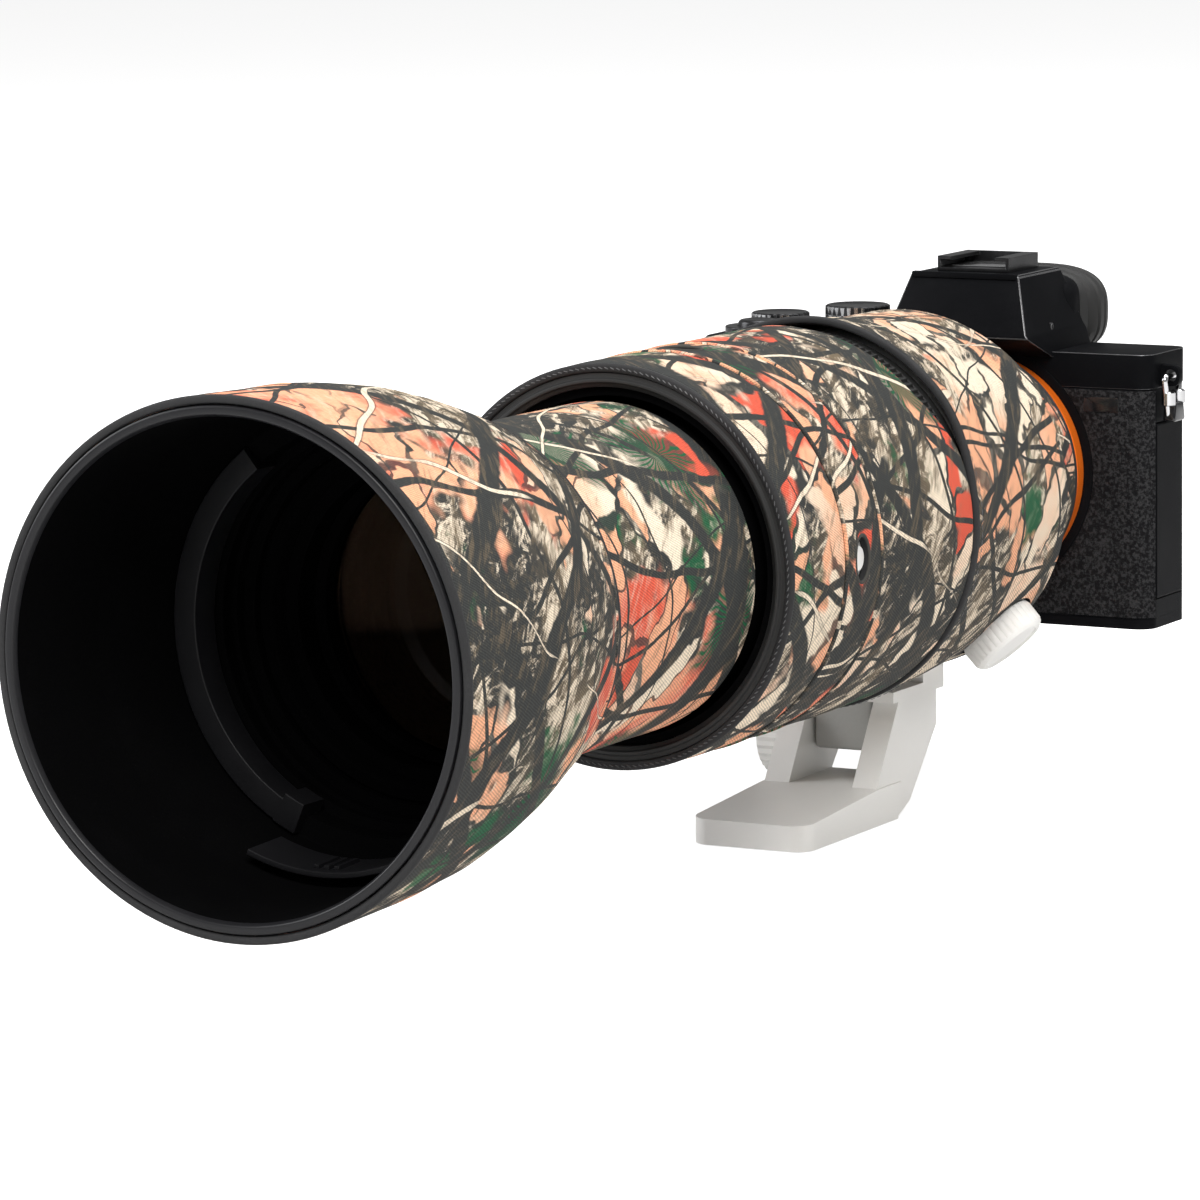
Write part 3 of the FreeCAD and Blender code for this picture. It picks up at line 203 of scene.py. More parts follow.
def branch_group():
    """Printed branches: long strokes in one direction, of uneven width, that come and go."""
    def build(n, i):
        turned_by = n.turn(i["Vector"], i["Angle"])
        seeded = n.shift(turned_by, n.add("ShaderNodeCombineXYZ", {
            "X": i["Seed"], "Y": i["Seed"], "Z": i["Seed"]}).outputs[0])
        bend = n.math("SUBTRACT", n.mottle(seeded, 14.0, 2.0).outputs["Fac"], 0.5)
        parts = n.add("ShaderNodeSeparateXYZ", {0: turned_by}).outputs
        across = n.math("ADD", parts["Y"], n.math("MULTIPLY", bend, i["Bend"]))
        place = n.math("ADD", n.math("DIVIDE", across, i["Spacing"]), i["Seed"])
        lines = n.add("ShaderNodeTexVoronoi", {"W": place, "Scale": 1.0, "Randomness": 1.0},
                      voronoi_dimensions="1D", feature="F1")
        chance = n.add("ShaderNodeSeparateColor", {0: lines.outputs["Color"]}).outputs
        along = n.add("ShaderNodeCombineXYZ", {
            "X": parts["X"], "Y": n.math("MULTIPLY", chance["Red"], 7.0), "Z": i["Seed"]}).outputs[0]
        taper = n.mottle(along, 16.0, 2.0).outputs["Fac"]
        ragged = n.math("SUBTRACT", n.mottle(seeded, 420.0, 3.0, 0.7).outputs["Fac"], 0.5)
        width = n.math("MULTIPLY", i["Width"], n.math("ADD", 0.35, n.math(
            "MULTIPLY", chance["Green"], n.math("ADD", 0.4, taper))))
        width = n.math("ADD", width, n.math("MULTIPLY", ragged, n.math("MULTIPLY", i["Width"], 0.5)))
        there = n.step(n.math("ADD", taper, n.math("MULTIPLY", chance["Blue"], 0.3)),
                       n.math("SUBTRACT", 0.80, i["Share"]), n.math("SUBTRACT", 0.86, i["Share"]))
        width = n.math("MULTIPLY", width, there)
        off = n.math("MULTIPLY", lines.outputs["Distance"], i["Spacing"])
        mask = n.math("MULTIPLY", n.step(off, width, n.math("MULTIPLY", width, 0.75)), there)
        rim = n.math("MULTIPLY", n.step(off, n.math("ADD", width, i["Rim"]), width), there)
        return {"Mask": mask, "Rim": rim, "Tone": chance["Red"]}
    return node_group("branches", {
        "Vector": ("V", None), "Angle": ("F", 0.0), "Spacing": ("F", 0.03), "Width": ("F", 0.002),
        "Bend": ("F", 0.01), "Share": ("F", 0.4), "Rim": ("F", 0.0006), "Seed": ("F", 0.0)},
        {"Mask": "F", "Rim": "F", "Tone": "F"}, build)


def leaf_group():
    """Printed leaves: stretched, slightly warped cells, some of them shown, with dark outlines."""
    def build(n, i):
        seed = n.add("ShaderNodeCombineXYZ", {"X": i["Seed"], "Y": i["Seed"]}).outputs[0]
        moved = n.shift(i["Vector"], seed)
        wander = n.add("ShaderNodeVectorMath", {
            0: n.mottle(moved, 55.0, 3.0, 0.6).outputs["Color"], 1: (0.5, 0.5, 0.5)},
            operation="SUBTRACT").outputs[0]
        amount = n.add("ShaderNodeVectorMath", {0: wander, "Scale": i["Warp"]},
                       operation="SCALE").outputs[0]
        turned_by = n.turn(n.shift(moved, amount), i["Angle"])
        stretched = n.add("ShaderNodeVectorMath", {
            0: turned_by, 1: n.add("ShaderNodeCombineXYZ", {
                "X": n.math("DIVIDE", 1.0, i["Stretch"]), "Y": 1.0, "Z": 0.0}).outputs[0]},
            operation="MULTIPLY").outputs[0]
        cells = n.add("ShaderNodeTexVoronoi", {"Vector": stretched, "Scale": i["Scale"]},
                      voronoi_dimensions="2D", feature="F1")
        edges = n.add("ShaderNodeTexVoronoi", {"Vector": stretched, "Scale": i["Scale"]},
                      voronoi_dimensions="2D", feature="DISTANCE_TO_EDGE")
        chance = n.add("ShaderNodeSeparateColor", {0: cells.outputs["Color"]}).outputs
        shown = n.step(chance["Red"], i["Share"], n.math("SUBTRACT", i["Share"], 0.02))
        inside = n.step(edges.outputs["Distance"], 0.05, 0.085)
        rim = n.step(edges.outputs["Distance"], 0.12, 0.05)
        return {"Mask": n.math("MULTIPLY", shown, inside),
                "Rim": n.math("MULTIPLY", rim, shown), "Tone": chance["Green"]}
    return node_group("leaves", {
        "Vector": ("V", None), "Scale": ("F", 60.0), "Stretch": ("F", 1.8), "Angle": ("F", 0.0),
        "Warp": ("F", 0.01), "Share": ("F", 0.5), "Seed": ("F", 0.0)},
        {"Mask": "F", "Rim": "F", "Tone": "F"}, build)


def needle_group():
    """Printed sprays of needles: rays that fan out from scattered points."""
    def build(n, i):
        scaled = n.add("ShaderNodeVectorMath", {0: i["Vector"], "Scale": i["Scale"]},
                       operation="SCALE").outputs[0]
        moved = n.shift(scaled, n.add("ShaderNodeCombineXYZ", {
            "X": i["Seed"], "Y": i["Seed"]}).outputs[0])
        cells = n.add("ShaderNodeTexVoronoi", {"Vector": moved, "Scale": 1.0, "Randomness": 0.9},
                      voronoi_dimensions="2D", feature="F1")
        offset = n.add("ShaderNodeVectorMath", {0: moved, 1: cells.outputs["Position"]},
                       operation="SUBTRACT").outputs[0]
        parts = n.add("ShaderNodeSeparateXYZ", {0: offset}).outputs
        angle = n.math("ARCTAN2", parts["Y"], parts["X"])
        sway = n.math("MULTIPLY", n.mottle(moved, 2.5, 2.0).outputs["Fac"], 1.2)
        rays = n.math("ABSOLUTE", n.math("SINE", n.math("MULTIPLY", n.math("ADD", angle, sway), 17.0)))
        reach = n.math("ADD", 0.42, n.math("MULTIPLY", n.math("SINE", n.math(
            "MULTIPLY", angle, 5.0)), 0.10))
        near = n.step(cells.outputs["Distance"], reach, n.math("SUBTRACT", reach, 0.15))
        chance = n.add("ShaderNodeSeparateColor", {0: cells.outputs["Color"]}).outputs
        shown = n.step(chance["Blue"], i["Share"], n.math("SUBTRACT", i["Share"], 0.02))
        thin = n.step(rays, n.math("ADD", 0.35, n.math("MULTIPLY", cells.outputs["Distance"], 1.2)), 1.0)
        return {"Mask": n.math("MULTIPLY", n.math("MULTIPLY", near, shown), thin),
                "Patch": n.math("MULTIPLY", near, shown)}
    return node_group("needles", {
        "Vector": ("V", None), "Scale": ("F", 24.0), "Share": ("F", 0.4), "Seed": ("F", 0.0)},
        {"Mask": "F", "Patch": "F"}, build)


def woodland_group():
    """The whole printed pattern, from ground tones up to the twigs on top."""
    leaves, branches, needles = leaf_group(), branch_group(), needle_group()

    def build(n, i):
        seed = n.add("ShaderNodeCombineXYZ", {"X": i["Seed"], "Y": i["Seed"], "Z": i["Seed"]}).outputs[0]
        place = n.shift(i["Vector"], seed)

        def put(tree, **values):
            node = n.add("ShaderNodeGroup", node_tree=tree)
            n.feed(node.inputs["Vector"], place)
            for key, value in values.items():
                n.feed(node.inputs[key], value)
            return node.outputs

        grain = n.mottle(place, 900.0, 4.0, 0.75).outputs["Fac"]
        broad = n.mottle(place, 26.0, 3.0, 0.6, 0.6).outputs["Fac"]
        streak_place = n.add("ShaderNodeVectorMath", {0: n.turn(place, 0.9), 1: (1.0, 0.14, 1.0)},
                             operation="MULTIPLY").outputs[0]
        streak = n.mottle(streak_place, 520.0, 4.0, 0.7, 0.4).outputs["Fac"]
        # Ground: charcoal with patches of bark and pale flecks
        colour = n.blend(n.step(broad, 0.46, 0.66), i["Dark"], i["Bark"])
        colour = n.blend(n.math("MULTIPLY", n.step(n.mottle(place, 340.0, 5.0, 0.8).outputs["Fac"],
                                                   0.48, 0.66), 0.6), colour, i["Bark"])
        fleck = n.add("ShaderNodeVectorMath", {0: n.turn(place, 0.55), 1: (1.0, 0.42, 1.0)},
                      operation="MULTIPLY").outputs[0]
        flecks = n.step(n.math("ADD", n.math("MULTIPLY", n.mottle(
            fleck, 210.0, 6.0, 0.72, 0.8).outputs["Fac"], 0.8), n.math(
                "MULTIPLY", broad, 0.42)), 0.605, 0.675)
        pale = n.blend(n.step(streak, 0.42, 0.66), i["Cream"], i["Bark"])
        colour = n.blend(n.math("MULTIPLY", flecks, 0.9), colour, pale)
        # Soft drifts of peach and coral, then of green
        drift = n.mottle(n.shift(place, (3.1, 1.7, 0.0)), 13.0, 4.0, 0.6).outputs["Fac"]
        warm = n.blend(n.step(n.mottle(place, 34.0, 4.0, 0.62, 0.5).outputs["Fac"], 0.40, 0.60),
                       i["Peach"], i["Coral"])
        warm = n.blend(n.math("MULTIPLY", n.step(streak, 0.45, 0.70), 0.35), warm, i["Cream"])
        colour = n.blend(n.step(drift, 0.55, 0.575), colour, warm)
        moss = n.mottle(n.shift(place, (7.3, 5.2, 0.0)), 20.0, 5.0, 0.62).outputs["Fac"]
        colour = n.blend(n.math("MULTIPLY", n.step(moss, 0.585, 0.64), 0.9), colour, i["Green"])
        # Two layers of leaves, in clusters
        for scale, stretch, angle, share, shift in (
                (48.0, 1.7, 0.7, 0.62, 0.0), (100.0, 2.3, -0.6, 0.46, 4.0)):
            leaf = put(leaves, Scale=scale, Stretch=stretch, Angle=angle, Warp=0.016, Share=share,
                       Seed=shift)
            cluster = n.mottle(n.shift(place, (shift + 2.0, 9.0, 0.0)), 17.0, 4.0, 0.6).outputs["Fac"]
            cluster = n.step(cluster, 0.485, 0.52)
            face = n.blend(n.step(n.math("ADD", n.math("MULTIPLY", leaf["Tone"], 0.5), n.math(
                "MULTIPLY", broad, 0.6)), 0.42, 0.62), i["Cream"], i["Peach"])
            face = n.blend(n.step(leaf["Tone"], 0.88, 0.90), face, i["Coral"])
            face = n.blend(n.math("MULTIPLY", n.step(streak, 0.52, 0.66), 0.5), face, i["Bark"])
            colour = n.blend(n.math("MULTIPLY", n.math("MULTIPLY", leaf["Rim"], cluster), 0.85),
                             colour, i["Dark"])
            colour = n.blend(n.math("MULTIPLY", leaf["Mask"], cluster), colour, face)
        # Needles
        spray = put(needles, Scale=25.0, Share=0.26, Seed=2.0)
        colour = n.blend(n.math("MULTIPLY", spray["Patch"], 0.75), colour, i["Dark"])
        colour = n.blend(spray["Mask"], colour, i["Green"])
        # Branches, dark ones first, then pale twigs with a dark rim
        for angle, spacing, width, share, shift in (
                (0.62, 0.036, 0.0030, 0.40, 1.0), (2.25, 0.046, 0.0036, 0.36, 5.0),
                (1.35, 0.026, 0.0011, 0.46, 9.0), (2.85, 0.060, 0.0064, 0.32, 13.0),
                (0.15, 0.024, 0.0008, 0.44, 21.0), (1.9, 0.030, 0.0009, 0.42, 25.0)):
            limb = put(branches, Angle=angle, Spacing=spacing, Width=width, Bend=0.026, Share=share,
                       Rim=0.0003, Seed=shift)
            body = n.blend(n.math("MULTIPLY", n.step(streak, 0.50, 0.66), 0.6), i["Dark"], i["Bark"])
            colour = n.blend(limb["Mask"], colour, body)
        for angle, spacing, width, share, shift in (
                (1.05, 0.062, 0.0007, 0.22, 31.0), (2.0, 0.078, 0.0009, 0.21, 37.0)):
            twig = put(branches, Angle=angle, Spacing=spacing, Width=width, Bend=0.034, Share=share,
                       Rim=0.0004, Seed=shift)
            body = n.blend(n.math("MULTIPLY", n.step(streak, 0.48, 0.66), 0.45), i["Cream"], i["Bark"])
            colour = n.blend(n.math("MULTIPLY", twig["Rim"], 0.7), colour, i["Dark"])
            colour = n.blend(twig["Mask"], colour, body)
        shade = n.math("ADD", 0.62, n.math("MULTIPLY", grain, 0.76))
        colour = n.blend(1.0, colour, n.add("ShaderNodeCombineColor", {
            0: shade, 1: shade, 2: shade}).outputs[0], mode="MULTIPLY")
        return {"Color": colour}
    return node_group("woodland_print", {
        "Vector": ("V", None), "Seed": ("F", 0.0), "Dark": ("C", None), "Bark": ("C", None),
        "Cream": ("C", None), "Peach": ("C", None), "Coral": ("C", None), "Green": ("C", None)},
        {"Color": "C"}, build)


def twill_group():
    """Fine diagonal ribs of a woven face, as a height and a painted shade (dark hollows, light ridges).
    """
    def build(n, i):
        parts = n.add("ShaderNodeSeparateXYZ", {0: i["Vector"]}).outputs
        wander = n.math("MULTIPLY", n.mottle(i["Vector"], 300.0, 2.0).outputs["Fac"], 0.9)
        slanted = n.math("ADD", parts["X"], n.math("MULTIPLY", parts["Y"], 0.55))
        across = n.math("DIVIDE", slanted, i["Pitch"])
        ribs = n.math("SINE", n.math("MULTIPLY", n.math("ADD", across, wander), math.tau))
        cross = n.math("SINE", n.math("MULTIPLY", n.math("DIVIDE", n.math(
            "SUBTRACT", parts["Y"], n.math("MULTIPLY", parts["X"], 0.3)), i["Pitch"]), math.tau))
        height = n.math("ADD", 0.5, n.math("ADD", n.math("MULTIPLY", ribs, 0.35), n.math(
            "MULTIPLY", cross, 0.15)))
        return {"Height": height, "Shade": n.math("ADD", 0.66, n.math("MULTIPLY", height, 0.68))}
    return node_group("twill", {"Vector": ("V", None), "Pitch": ("F", 0.0006)},
                      {"Height": "F", "Shade": "F"}, build)


def grain_group():
    """Fine pebbled grain with small pits, as a height and a mottled mask for a painted highlight."""
    def build(n, i):
        coarse = n.mottle(i["Vector"], n.math("MULTIPLY", i["Scale"], 0.8), 3.0, 0.65).outputs["Fac"]
        cells = n.add("ShaderNodeTexVoronoi", {"Vector": i["Vector"], "Scale": i["Scale"]},
                      feature="DISTANCE_TO_EDGE")
        raised = n.step(cells.outputs["Distance"], 0.02, 0.28)
        fine = n.mottle(i["Vector"], n.math("MULTIPLY", i["Scale"], 2.6), 3.0, 0.6).outputs["Fac"]
        height = n.math("ADD", n.math("MULTIPLY", raised, 0.75), n.math("MULTIPLY", fine, 0.25))
        return {"Height": height, "Mask": n.step(coarse, 0.40, 0.66)}
    return node_group("grain", {"Vector": ("V", None), "Scale": ("F", 900.0)},
                      {"Height": "F", "Mask": "F"}, build)


def wear_group():
    """Slight handling marks: a paler, duller tone in patches, and a roughness to go with it."""
    def build(n, i):
        large = n.mottle(i["Vector"], 38.0, 4.0, 0.6, 0.3).outputs["Fac"]
        small = n.mottle(i["Vector"], 1400.0, 2.0, 0.6).outputs["Fac"]
        marks = n.step(n.math("ADD", n.math("MULTIPLY", large, 0.75), n.math(
            "MULTIPLY", small, 0.25)), 0.45, 0.68)
        colour = n.blend(n.math("MULTIPLY", marks, i["Amount"]), i["Color"], i["Worn"])
        rough = n.math("ADD", i["Roughness"], n.math("MULTIPLY", n.math("SUBTRACT", large, 0.5), 0.22))
        return {"Color": colour, "Roughness": rough, "Height": small}
    return node_group("handling", {
        "Vector": ("V", None), "Color": ("C", None), "Worn": ("C", None), "Amount": ("F", 0.3),
        "Roughness": ("F", 0.5)}, {"Color": "C", "Roughness": "F", "Height": "F"}, build)


def new_material(name):
    """An empty Principled material: its Nodes, its shader and whether it is new."""
    material = bpy.data.materials.get(name + "_finish")
    if material is not None:
        return material, None, None
    material = bpy.data.materials.new(name + "_finish")
    material.use_nodes = True
    tree = material.node_tree
    return material, Nodes(tree), tree.nodes["Principled BSDF"]


def cloth_material(name, seed):
    material, n, shader = new_material(name)
    if n is None:
        return material
    look = bpy.context.scene.camera_look_cloth
    place = n.add("ShaderNodeUVMap", uv_map="Cloth").outputs[0]
    print_node = n.add("ShaderNodeGroup", node_tree=woodland_group())
    for key, value in (("Vector", place), ("Seed", seed), ("Dark", four(look.dark)),
                       ("Bark", four(look.bark)), ("Cream", four(look.cream)),
                       ("Peach", four(look.peach)), ("Coral", four(look.coral)),
                       ("Green", four(look.green))):
        n.feed(print_node.inputs[key], value)
    twill = n.add("ShaderNodeGroup", node_tree=twill_group())
    n.feed(twill.inputs["Vector"], place)
    n.feed(twill.inputs["Pitch"], look.twill)
    # Painted shade: the print is multiplied by the twill's shade, darker in the rib hollows and lighter
    # on the ridges.
    shade = twill.outputs["Shade"]
    grey = n.add("ShaderNodeCombineColor", {0: shade, 1: shade, 2: shade}).outputs[0]
    n.feed(shader.inputs["Base Color"], n.blend(1.0, print_node.outputs["Color"], grey, mode="MULTIPLY"))
    bump = n.add("ShaderNodeBump", {"Height": twill.outputs["Height"], "Strength": 0.35,
                                    "Distance": 0.00012})
    n.feed(shader.inputs["Normal"], bump.outputs[0])
    shader.inputs["Roughness"].default_value = 0.78
    shader.inputs["Specular IOR Level"].default_value = 0.15
    return material


def coated_material(name, colour, rough, worn=None, amount=0.25, grain=0.0, depth=0.00006,
                    metallic=0.0, coat=0.0, specular=0.5, fleck=0.0):
    """Paint, moulding, rubber or metal with handling marks, and a grain of the given scale.

    A fleck above 0 also lightens mottled patches of the grain by that much, a painted highlight.
    """
    material, n, shader = new_material(name)
    if n is None:
        return material
    place = n.add("ShaderNodeTexCoord").outputs["Object"]
    marks = n.add("ShaderNodeGroup", node_tree=wear_group())
    paler = worn or tuple(min(1.0, c * 1.5 + 0.004) for c in colour)
    for key, value in (("Vector", place), ("Color", four(colour)), ("Worn", four(paler)),
                       ("Amount", amount), ("Roughness", rough)):
        n.feed(marks.inputs[key], value)
    n.feed(shader.inputs["Base Color"], marks.outputs["Color"])
    n.feed(shader.inputs["Roughness"], marks.outputs["Roughness"])
    height = marks.outputs["Height"]
    if grain:
        pebble = n.add("ShaderNodeGroup", node_tree=grain_group())
        n.feed(pebble.inputs["Vector"], place)
        n.feed(pebble.inputs["Scale"], grain)
        height = pebble.outputs["Height"]
        # Painted highlight: mottled patches of the grain are blended towards a lighter colour.
        if fleck:
            grain_highlight_colour = four([min(1.0, c * 2.2 + 0.019) for c in colour])
            n.feed(shader.inputs["Base Color"], n.blend(n.math(
                "MULTIPLY", pebble.outputs["Mask"], fleck), marks.outputs["Color"], grain_highlight_colour))
    bump = n.add("ShaderNodeBump", {"Height": height, "Strength": 0.5 if grain else 0.15,
                                    "Distance": depth})
    n.feed(shader.inputs["Normal"], bump.outputs[0])
    shader.inputs["Metallic"].default_value = metallic
    shader.inputs["Coat Weight"].default_value = coat
    shader.inputs["Coat Roughness"].default_value = 0.25
    shader.inputs["Specular IOR Level"].default_value = specular
    return material


def finishes():
    """Every finish but the cloth: its colour, its roughness and the rest of coated_material's."""
    lens = bpy.context.scene.camera_look_lens
    body = bpy.context.scene.camera_look_body
    cloth = bpy.context.scene.camera_look_cloth
    return {
        "barrel_paint": (lens.paint, 0.42, dict(amount=0.10, worn=(0.74, 0.73, 0.70), depth=0.00003)),
        "grey_paint": ((0.40, 0.40, 0.385), 0.45, dict(amount=0.15)),
        "hood_black": (lens.hood, 0.50, dict(amount=0.3, grain=2600.0, depth=0.00002, specular=0.3)),
        "rim_black": ((0.011, 0.011, 0.0125), 0.36, dict(
            amount=0.2, grain=3000.0, depth=0.00001, specular=0.3)),
        "flocked_black": ((0.0016, 0.0016, 0.0018), 0.85, dict(
            amount=0.12, grain=1800.0, depth=0.00004, specular=0.03)),
        "ring_rubber": (lens.rubber, 0.62, dict(amount=0.3)),
        "gloss_black": ((0.006, 0.006, 0.007), 0.16, dict(amount=0.05, coat=0.5)),
        "body_metal": (body.metal, 0.42, dict(
            amount=0.30, grain=3400.0, depth=0.000022, specular=0.025)),
        # Lighter metal on bevelled edges: a painted highlight along the edges, with handling wear on it.
        "painted_edge_highlight": ((0.10, 0.10, 0.105), 0.26, dict(
            amount=0.4, worn=(0.18, 0.18, 0.18), metallic=0.6)),
        # The skin's fleck is a painted highlight, lightening mottled patches of its grain.
        "grained_skin": (body.skin, 0.62, dict(
            amount=0.15, grain=1500.0, depth=0.00020, specular=0.03, fleck=1.0)),
        "dial_black": ((0.030, 0.030, 0.032), 0.28, dict(
            amount=0.35, worn=(0.09, 0.09, 0.092), metallic=0.8)),
        # Bright metal on every other knurl facet: a painted highlight on the dial's diamonds.
        "knurl_painted_highlight": ((0.42, 0.42, 0.43), 0.22, dict(
            amount=0.35, worn=(0.60, 0.60, 0.60), metallic=1.0)),
        "bright_steel": ((0.72, 0.72, 0.73), 0.17, dict(
            amount=0.2, worn=(0.5, 0.5, 0.5), metallic=1.0)),
        "trim_ring": (body.ring, 0.30, dict(amount=0.12, metallic=0.25, worn=(0.7, 0.2, 0.05))),
        "edge_tape": (cloth.binding, 0.80, dict(
            amount=0.5, worn=(0.035, 0.035, 0.037), grain=2400.0, depth=0.00008)),
        "thread": ((0.085, 0.085, 0.088), 0.38, dict(amount=0.3, worn=(0.16, 0.16, 0.16))),
        "orange_mark": ((0.75, 0.09, 0.02), 0.5, dict(amount=0.1)),
        "board_green": ((0.010, 0.070, 0.030), 0.4, dict(amount=0.4)),
        "battery_grey": ((0.03, 0.03, 0.032), 0.5, dict(amount=0.3)),
    }


def finish_of(name):
    colour, rough, rest = finishes()[name]
    return coated_material(name, tuple(colour), rough, **rest)


def glass_material():
    material, n, shader = new_material("coated_glass")
    if n is None:
        return material
    shader.inputs["Base Color"].default_value = (0.13, 0.085, 0.055, 1)
    shader.inputs["Roughness"].default_value = 0.02
    shader.inputs["Transmission Weight"].default_value = 1.0
    shader.inputs["IOR"].default_value = 1.52
    return material


def screen_material():
    """Glossy panel, faintly mottled with dust."""
    material, n, shader = new_material("screen_gloss")
    if n is None:
        return material
    place = n.add("ShaderNodeTexCoord").outputs["Object"]
    dust = n.mottle(place, 60.0, 4.0, 0.6).outputs["Fac"]
    n.feed(shader.inputs["Base Color"], n.blend(dust, (0.004, 0.004, 0.005, 1), (0.009, 0.010, 0.012, 1)))
    n.feed(shader.inputs["Roughness"], n.math("ADD", 0.05, n.math("MULTIPLY", dust, 0.08)))
    shader.inputs["Coat Weight"].default_value = 0.6
    return material


# ------------------------------------------------------------------ mesh helpers
def finish_mesh(mesh, soft=SOFT_EDGE):
    """Outward normals, smooth faces, and sharp edges where faces meet steeply."""
    made = bmesh.new()
    made.from_mesh(mesh)
    bmesh.ops.remove_doubles(made, verts=made.verts, dist=1e-7)
    bmesh.ops.recalc_face_normals(made, faces=made.faces)
    for face in made.faces:
        face.smooth = True
    for edge in made.edges:
        edge.smooth = len(edge.link_faces) != 2 or edge.calc_face_angle(0.0) < soft
    made.to_mesh(mesh)
    made.free()
    mesh.update()


def add_piece(name, points, faces, finish, body, replaces=(), uvs=None, soft=SOFT_EDGE):
    """A mesh from points in millimetres from the mount, riding on a body."""
    mesh = bpy.data.meshes.new(name)
    mesh.from_pydata([MOUNT + Vector(p) / 1000 for p in points], [], faces)
    if uvs is not None:
        layer = mesh.uv_layers.new(name="Cloth")
        for loop_index, uv in enumerate(uvs):
            layer.data[loop_index].uv = uv
    finish_mesh(mesh, soft)
    piece = bpy.data.objects.new(name, mesh)
    bpy.context.scene.collection.objects.link(piece)
    if isinstance(finish, str):
        finish = finish_of(finish)
    mesh.materials.append(finish)
    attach(piece, body)
    if replaces:
        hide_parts(*replaces)
    return piece


def rounded(outline, radius, steps=4):
    """A closed outline with its corners rounded; radius is one number or one for each corner."""
    count = len(outline)
    radii = radius if isinstance(radius, (list, tuple)) else [radius] * count
    result = []
    for k, corner in enumerate(outline):
        here = Vector(corner)
        before, after = Vector(outline[k - 1]) - here, Vector(outline[(k + 1) % count]) - here
        limit = 0.45 * min(before.length, after.length)
        reach = radii[k]
        if reach <= 0 or before.length < 1e-6 or after.length < 1e-6:
            result.append(tuple(here))
            continue
        angle = before.angle(after)
        if angle > math.radians(178):
            result.append(tuple(here))
            continue
        cut = min(limit, reach / math.tan(angle / 2))
        first, last = here + before.normalized() * cut, here + after.normalized() * cut
        for s in range(steps + 1):
            t = s / steps
            result.append(tuple(first.lerp(here, t).lerp(here.lerp(last, t), t)))
    return result


def oblong(first, second, last_first, last_second, radius, steps=4):
    """A rectangle's outline from one corner to the other, with its corners rounded."""
    return rounded([(first, second), (last_first, second), (last_first, last_second),
                    (first, last_second)], radius, steps)


def disc(radius, first=0.0, second=0.0, count=48, tall=None):
    """A round outline about a centre, or an oval one where tall gives its other radius."""
    tall = radius if tall is None else tall
    return [(first + radius * math.cos(math.tau * k / count),
             second + tall * math.sin(math.tau * k / count)) for k in range(count)]


def turned(name, outline, finish, body, replaces=(), steps=144, shape=None, start=-90.0,
           sweep=360.0, soft=SOFT_EDGE, lift=0.0):
    """A ring from a closed outline of (radius, y), turned about the lens axis.

    shape(angle, radius, y) may move each point; angles run from x towards z.  The uv map holds
    metres round the ring and along the outline, for cloth.
    """
    whole = abs(sweep - 360.0) < 1e-6
    columns = steps if whole else steps + 1
    count = len(outline)
    widest = max(r for r, _ in outline)
    lengths = [0.0]
    for k in range(count):
        lengths.append(lengths[-1] + (Vector(outline[(k + 1) % count]) - Vector(outline[k])).length)
    points, faces, uvs = [], [], []
    for column in range(columns):
        angle = start + sweep * column / steps
        cosine, sine = math.cos(math.radians(angle)), math.sin(math.radians(angle))
        for radius, along in outline:
            if shape:
                radius, along = shape(angle, radius, along)
            points.append((radius * cosine, along, radius * sine + lift))
    arc = math.radians(sweep) * widest / steps / 1000
    for column in range(steps):
        following = (column + 1) % columns
        for k in range(count):
            k2 = (k + 1) % count
            faces.append((column * count + k, column * count + k2, following * count + k2,
                          following * count + k))
            u0, u1 = column * arc, (column + 1) * arc
            v0, v1 = lengths[k] / 1000, lengths[k + 1] / 1000
            uvs += [(u0, v0), (u0, v1), (u1, v1), (u1, v0)]
    if not whole:
        for column in (0, columns - 1):
            faces.append(tuple(column * count + k for k in range(count)))
            uvs += [(0.0, 0.0)] * count
    return add_piece(name, points, faces, finish, body, replaces, uvs, soft)


def modified(piece, *steps):
    """Apply modifiers given as (kind, settings) to the piece's own mesh."""
    for kind, settings in steps:
        modifier = piece.modifiers.new(kind.title(), kind)
        for key, value in settings.items():
            setattr(modifier, key, value)
    bpy.context.view_layer.update()
    graph = bpy.context.evaluated_depsgraph_get()
    made = bpy.data.meshes.new_from_object(piece.evaluated_get(graph))
    piece.modifiers.clear()
    old = piece.data
    piece.data = made
    bpy.data.meshes.remove(old)
    finish_mesh(piece.data)
    return piece


def bevelled(piece, width, segments=3, angle=30.0, edge=None):
    """Round a piece's edges by a width in millimetres; an edge finish goes on the rounding."""
    slot = -1
    if edge:
        slot = len(piece.data.materials)
        piece.data.materials.append(finish_of(edge))
    return modified(piece, ("BEVEL", {
        "material": slot,
        "width": width / 1000, "segments": segments, "limit_method": "ANGLE",
        "angle_limit": math.radians(angle), "harden_normals": False, "use_clamp_overlap": True}))


def carved(piece, *cutters):
    """Cut other pieces out of this one and remove them."""
    steps = [("BOOLEAN", {"operation": "DIFFERENCE", "object": cutter, "solver": "EXACT"})
             for cutter in cutters]
    modified(piece, *steps)
    for cutter in cutters:
        bpy.data.objects.remove(cutter)
    return piece


def prism(name, outline, axis, low, high, finish, body, replaces=()):
    """An outline drawn across an axis and carried along it from low to high.

    The outline is (y, z) for axis x, (x, z) for axis y and (x, y) for axis z.
    """
    def put(first, second, place):
        return {"x": (place, first, second), "y": (first, place, second),
                "z": (first, second, place)}[axis]
    count = len(outline)
    points = [put(a, b, low) for a, b in outline] + [put(a, b, high) for a, b in outline]
    faces = [tuple(range(count)), tuple(range(2 * count - 1, count - 1, -1))]
    faces += [(k, (k + 1) % count, count + (k + 1) % count, count + k) for k in range(count)]
    return add_piece(name, points, faces, finish, body, replaces)


def cutter(name, outline, axis, low, high, body=CAMERA_BODY):
    """A prism that carved will take out of another piece."""
    return prism(name, outline, axis, low, high, "edge_tape", body)


